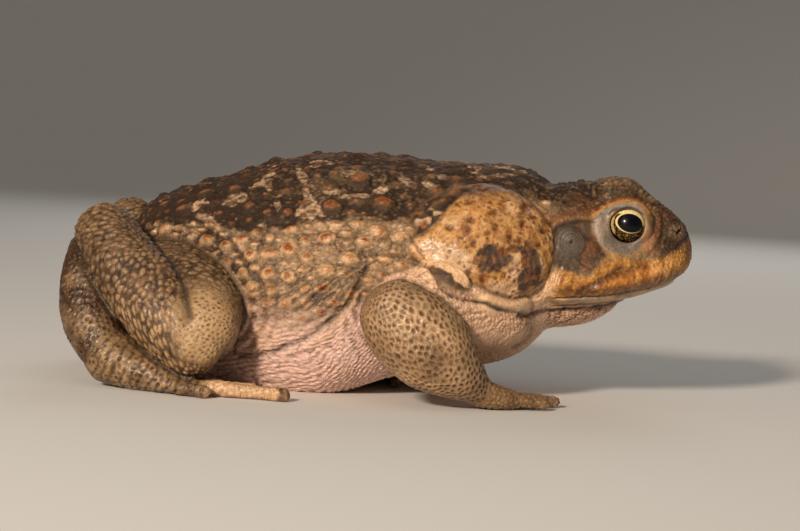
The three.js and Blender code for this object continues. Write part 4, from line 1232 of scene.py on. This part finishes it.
def skin_finish():
    f = Finish("toad_skin", specular_ior_level=0.3, coat_roughness=0.25, coat_ior=1.4,
               subsurface_weight=0.04, subsurface_scale=0.002)
    mottle = f.noise(420.0, detail=4.0)
    broad = f.noise(110.0, detail=3.0)
    specks = f.noise(1500.0, detail=2.0)

    def over(colour, name, dark, light, by=mottle, torn=0.0, less=0.0):
        """The colour under a paint of two tones, whose edge the mottle tears."""
        share = f.attribute(name)
        if torn:
            share = share + torn * (mottle - 0.5)
        if less:
            share = share - less
        return f.mix(share, colour, f.mix(by, tone(dark), tone(light)))

    colour = f.mix(broad, tone("80613c"), tone("a38156"))
    colour = f.mix(0.6 * mottle, colour, tone("c4a580"))
    colour = over(colour, "rosy", "93704c", "c6a47c")
    colour = over(colour, "pale", "d6aa98", "f6d6c8")
    colour = over(colour, "amber", "a8682a", "e6ac58")
    colour = over(colour, "peach", "a87450", "c8946c")
    colour = over(colour, "charcoal", "22150b", "422d1b", by=broad, torn=0.5)
    colour = over(colour, "cream", "c0946a", "eac8a4", torn=0.4, less=0.1)
    colour = over(colour, "slate", "544e4a", "827d78")
    colour = over(colour, "rust", "66300f", "9c5822")
    colour = f.mix(f.attribute("umber") + 0.3 * (mottle - 0.5) - 0.05, colour, tone("3e240e"))
    # Painted light: a darkening multiply for painted shade in creases and hollows and for a darker tone, a
    # brightening multiply for painted highlights, and a dark mix for painted shade in folds.
    colour = f.mix(f.attribute("crevice") + 0.2 * (mottle - 0.5), colour, tone("6a543c"), "MULTIPLY")
    colour = f.mix(f.attribute("light"), colour, (1.8, 1.75, 1.7, 1.0), "MULTIPLY")
    colour = f.mix(f.attribute("shade"), colour, tone("1e130b"))
    colour = f.mix(0.45 * f.ramp(specks, 0.55, 0.7), colour, tone("3a2a18"))
    flecks = f.ramp(f.noise(1150.0, detail=2.0), 0.56, 0.68) * (1.0 - f.attribute("charcoal"))
    colour = f.mix(0.15 * flecks, colour, tone("d8b48a"))
    f.link(colour, "Base Color")
    dull = 0.2 * f.attribute("charcoal") - 0.24 * f.attribute("wet")
    f.link(0.52 + dull + 0.25 * (mottle - 0.5), "Roughness")
    f.link(0.45 * f.attribute("wet"), "Coat Weight")
    f.bump(f.noise(1600.0, detail=4.0) + 0.6 * mottle, 0.6, 0.0005)
    return f.material


EYE_GAZE = np.array([0.1, 0.98, 0.1]) / np.linalg.norm([0.1, 0.98, 0.1])
PUPIL = (3.3, 2.4)
PUPIL_TILT = math.radians(-9)


def eye_finish():
    f = Finish("toad_eye", roughness=0.3, coat_weight=0.3, coat_roughness=0.02, specular_ior_level=0.1)
    ahead, up = f.attribute("eye_ahead"), f.attribute("eye_up")
    c, s = math.cos(PUPIL_TILT), math.sin(PUPIL_TILT)
    along, athwart = (ahead * c + up * s) / PUPIL[0], (up * c - ahead * s) / PUPIL[1]
    oval = (along * along + athwart * athwart) ** 0.5
    out = (ahead * ahead + up * up) ** 0.5
    veins = f.noise(1700.0, detail=5.0, roughness=0.75)
    flecks = f.ramp(veins, 0.5, 0.6)
    upper = f.ramp(up + 0.45 * ahead + 1.2 * (veins - 0.5), 0.9, 1.5)
    iris = f.mix(flecks * 0.85, tone("140c06"), tone("a88244"))
    iris = f.mix(upper, iris, f.mix(flecks, tone("dcc48c"), tone("f8ecc8")))
    arc = f.ramp(out, 4.15, 4.3) * f.ramp(0.6 * up - ahead, 1.6, 2.6)
    iris = f.mix(arc * f.ramp(veins, 0.35, 0.5), iris, tone("c9a878"))
    colour = f.mix(f.ramp(oval + 0.02 * ahead, 1.1, 1.07), iris, tone("dcc286"))
    colour = f.mix(f.ramp(oval, 1.035, 1.0), colour, tone("03050b"))
    colour = f.mix(f.ramp(out, 4.6, 4.8), colour, tone("0a0603"))
    f.link(colour, "Base Color")
    return f.material


def smooth_with(thing, material, **values):
    """Shades an object smoothly and gives it a material and values at its points."""
    for name, numbers in values.items():
        layer = thing.data.attributes.new(name, "FLOAT", "POINT")
        layer.data.foreach_set("value", np.array(numbers, dtype=np.float32))
    thing.data.polygons.foreach_set("use_smooth", np.ones(len(thing.data.polygons), bool))
    thing.data.materials.append(material)


# The skin's mesh.
skin = object_from("skin", in_frame(points), quads.tolist())
smooth_with(skin, skin_finish(), **paint)
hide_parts(*[node for nodes in REGIONS.values() for node in nodes])
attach(skin, "root")


def eye_ball(word, side):
    """An eyeball with its poles on the line of sight and a cornea that stands out a little."""
    gaze = EYE_GAZE * np.array([1, side, 1])
    ahead = np.array([1.0, 0, 0]) - gaze * gaze[0]
    ahead /= np.linalg.norm(ahead)
    up = np.cross(gaze, ahead) * -side
    up *= np.sign(up[2])
    rounds, rows = 72, 48
    places, eye_ahead, eye_up = [], [], []
    for row in range(rows + 1):
        polar = math.pi * row / rows
        for column in range(rounds if 0 < row < rows else 1):
            angle = 2 * math.pi * column / rounds
            a, u = math.sin(polar) * math.cos(angle), math.sin(polar) * math.sin(angle)
            bulge = 0.25 * math.exp(-((polar / 0.7) ** 2))
            place = (EYE_RADIUS - 0.2 + bulge) * (a * ahead + u * up + math.cos(polar) * gaze)
            places.append(place + np.array(EYE_CENTRE) * np.array([1, side, 1]))
            eye_ahead.append(place @ ahead)
            eye_up.append(place @ up)
    faces = []
    last = len(places) - 1

    def ring(row):
        return 1 + (row - 1) * rounds

    for column in range(rounds):
        after = (column + 1) % rounds
        faces.append((0, ring(1) + column, ring(1) + after))
        faces.append((last, ring(rows - 1) + after, ring(rows - 1) + column))
        for row in range(1, rows - 1):
            low, high = ring(row), ring(row + 1)
            faces.append((low + column, high + column, high + after, low + after))
    if np.cross(ahead, up) @ gaze < 0:
        faces = [face[::-1] for face in faces]
    ball = object_from("eyeball_" + word, in_frame(places), faces)
    smooth_with(ball, eye_material, eye_ahead=eye_ahead, eye_up=eye_up)
    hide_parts("eye_" + word)
    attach(ball, "root")


eye_material = eye_finish()
eye_ball("right", -1)
eye_ball("left", 1)


# Floor, light and camera. The floor rises gently far away, like a studio sweep.
FLOOR_FLAT, FLOOR_RISE, FLOOR_HEIGHT = 1.6, 1.4, 2.6


def studio_floor():
    profile = [(FLOOR_FLAT * i / 3, 0.0) for i in range(1, 4)]
    for i in range(1, 13):
        angle = math.pi / 2 * i / 12
        profile.append((FLOOR_FLAT + FLOOR_RISE * math.sin(angle), FLOOR_RISE * (1 - math.cos(angle))))
    profile.append((FLOOR_FLAT + FLOOR_RISE, FLOOR_HEIGHT))
    around = 96
    places = [(0.0, 0.0, 0.0)]
    for radius, rise_to in profile:
        for i in range(around):
            angle = 2 * math.pi * i / around
            places.append((radius * math.cos(angle), radius * math.sin(angle), rise_to))
    faces = [(0, 1 + i, 1 + (i + 1) % around) for i in range(around)]
    for row in range(len(profile) - 1):
        first, second = 1 + row * around, 1 + (row + 1) * around
        for i in range(around):
            after = (i + 1) % around
            faces.append((first + i, second + i, second + after, first + after))
    floor = object_from("floor", np.array(places), faces)
    smooth_with(floor, Finish("floor", base_color=tone("dedbd6"), roughness=0.9).material)


studio_floor()
ROOM_LIGHT = 0.28
world = bpy.data.worlds.new("room")
world.use_nodes = True
world.node_tree.nodes["Background"].inputs["Color"].default_value = tone("f4efe9")
world.node_tree.nodes["Background"].inputs["Strength"].default_value = ROOM_LIGHT
bpy.context.scene.world = world
bpy.context.scene.view_settings.view_transform = "Standard"


def lamp(name, kind, place, size, power, colour="ffffff"):
    light = bpy.data.lights.new(name, kind)
    light.energy = power
    light.color = tone(colour)[:3]
    if kind == "AREA":
        light.size = size
    else:
        light.shadow_soft_size = size
        light.spot_size = math.radians(38)
        light.spot_blend = 1.0
    holder = bpy.data.objects.new(name, light)
    bpy.context.scene.collection.objects.link(holder)
    holder.location = place
    holder.rotation_euler = (Vector((0, 0, 0.03)) - holder.location).to_track_quat("-Z", "Y").to_euler()


lamp("key", "SPOT", (-0.58, -1.42, 0.6), 0.1, 125, "fff0de")
lamp("rear", "AREA", (0.2, 1.1, 0.7), 0.6, 2.4)
bpy.data.lights["rear"].specular_factor = 0.2

camera = bpy.data.objects.new("camera", bpy.data.cameras.new("camera"))
bpy.context.scene.collection.objects.link(camera)
camera.data.sensor_width = SENSOR
camera.data.lens = FOCAL * SENSOR / PHOTO_WIDE
camera.data.clip_start = 0.01
turn = Matrix(np.stack([CAMERA_RIGHT, CAMERA_UP, CAMERA_BACK], axis=1).tolist())
camera.matrix_world = Matrix.Translation(Vector(in_frame(CAMERA_AT).tolist())) @ turn.to_4x4()
bpy.context.scene.camera = camera
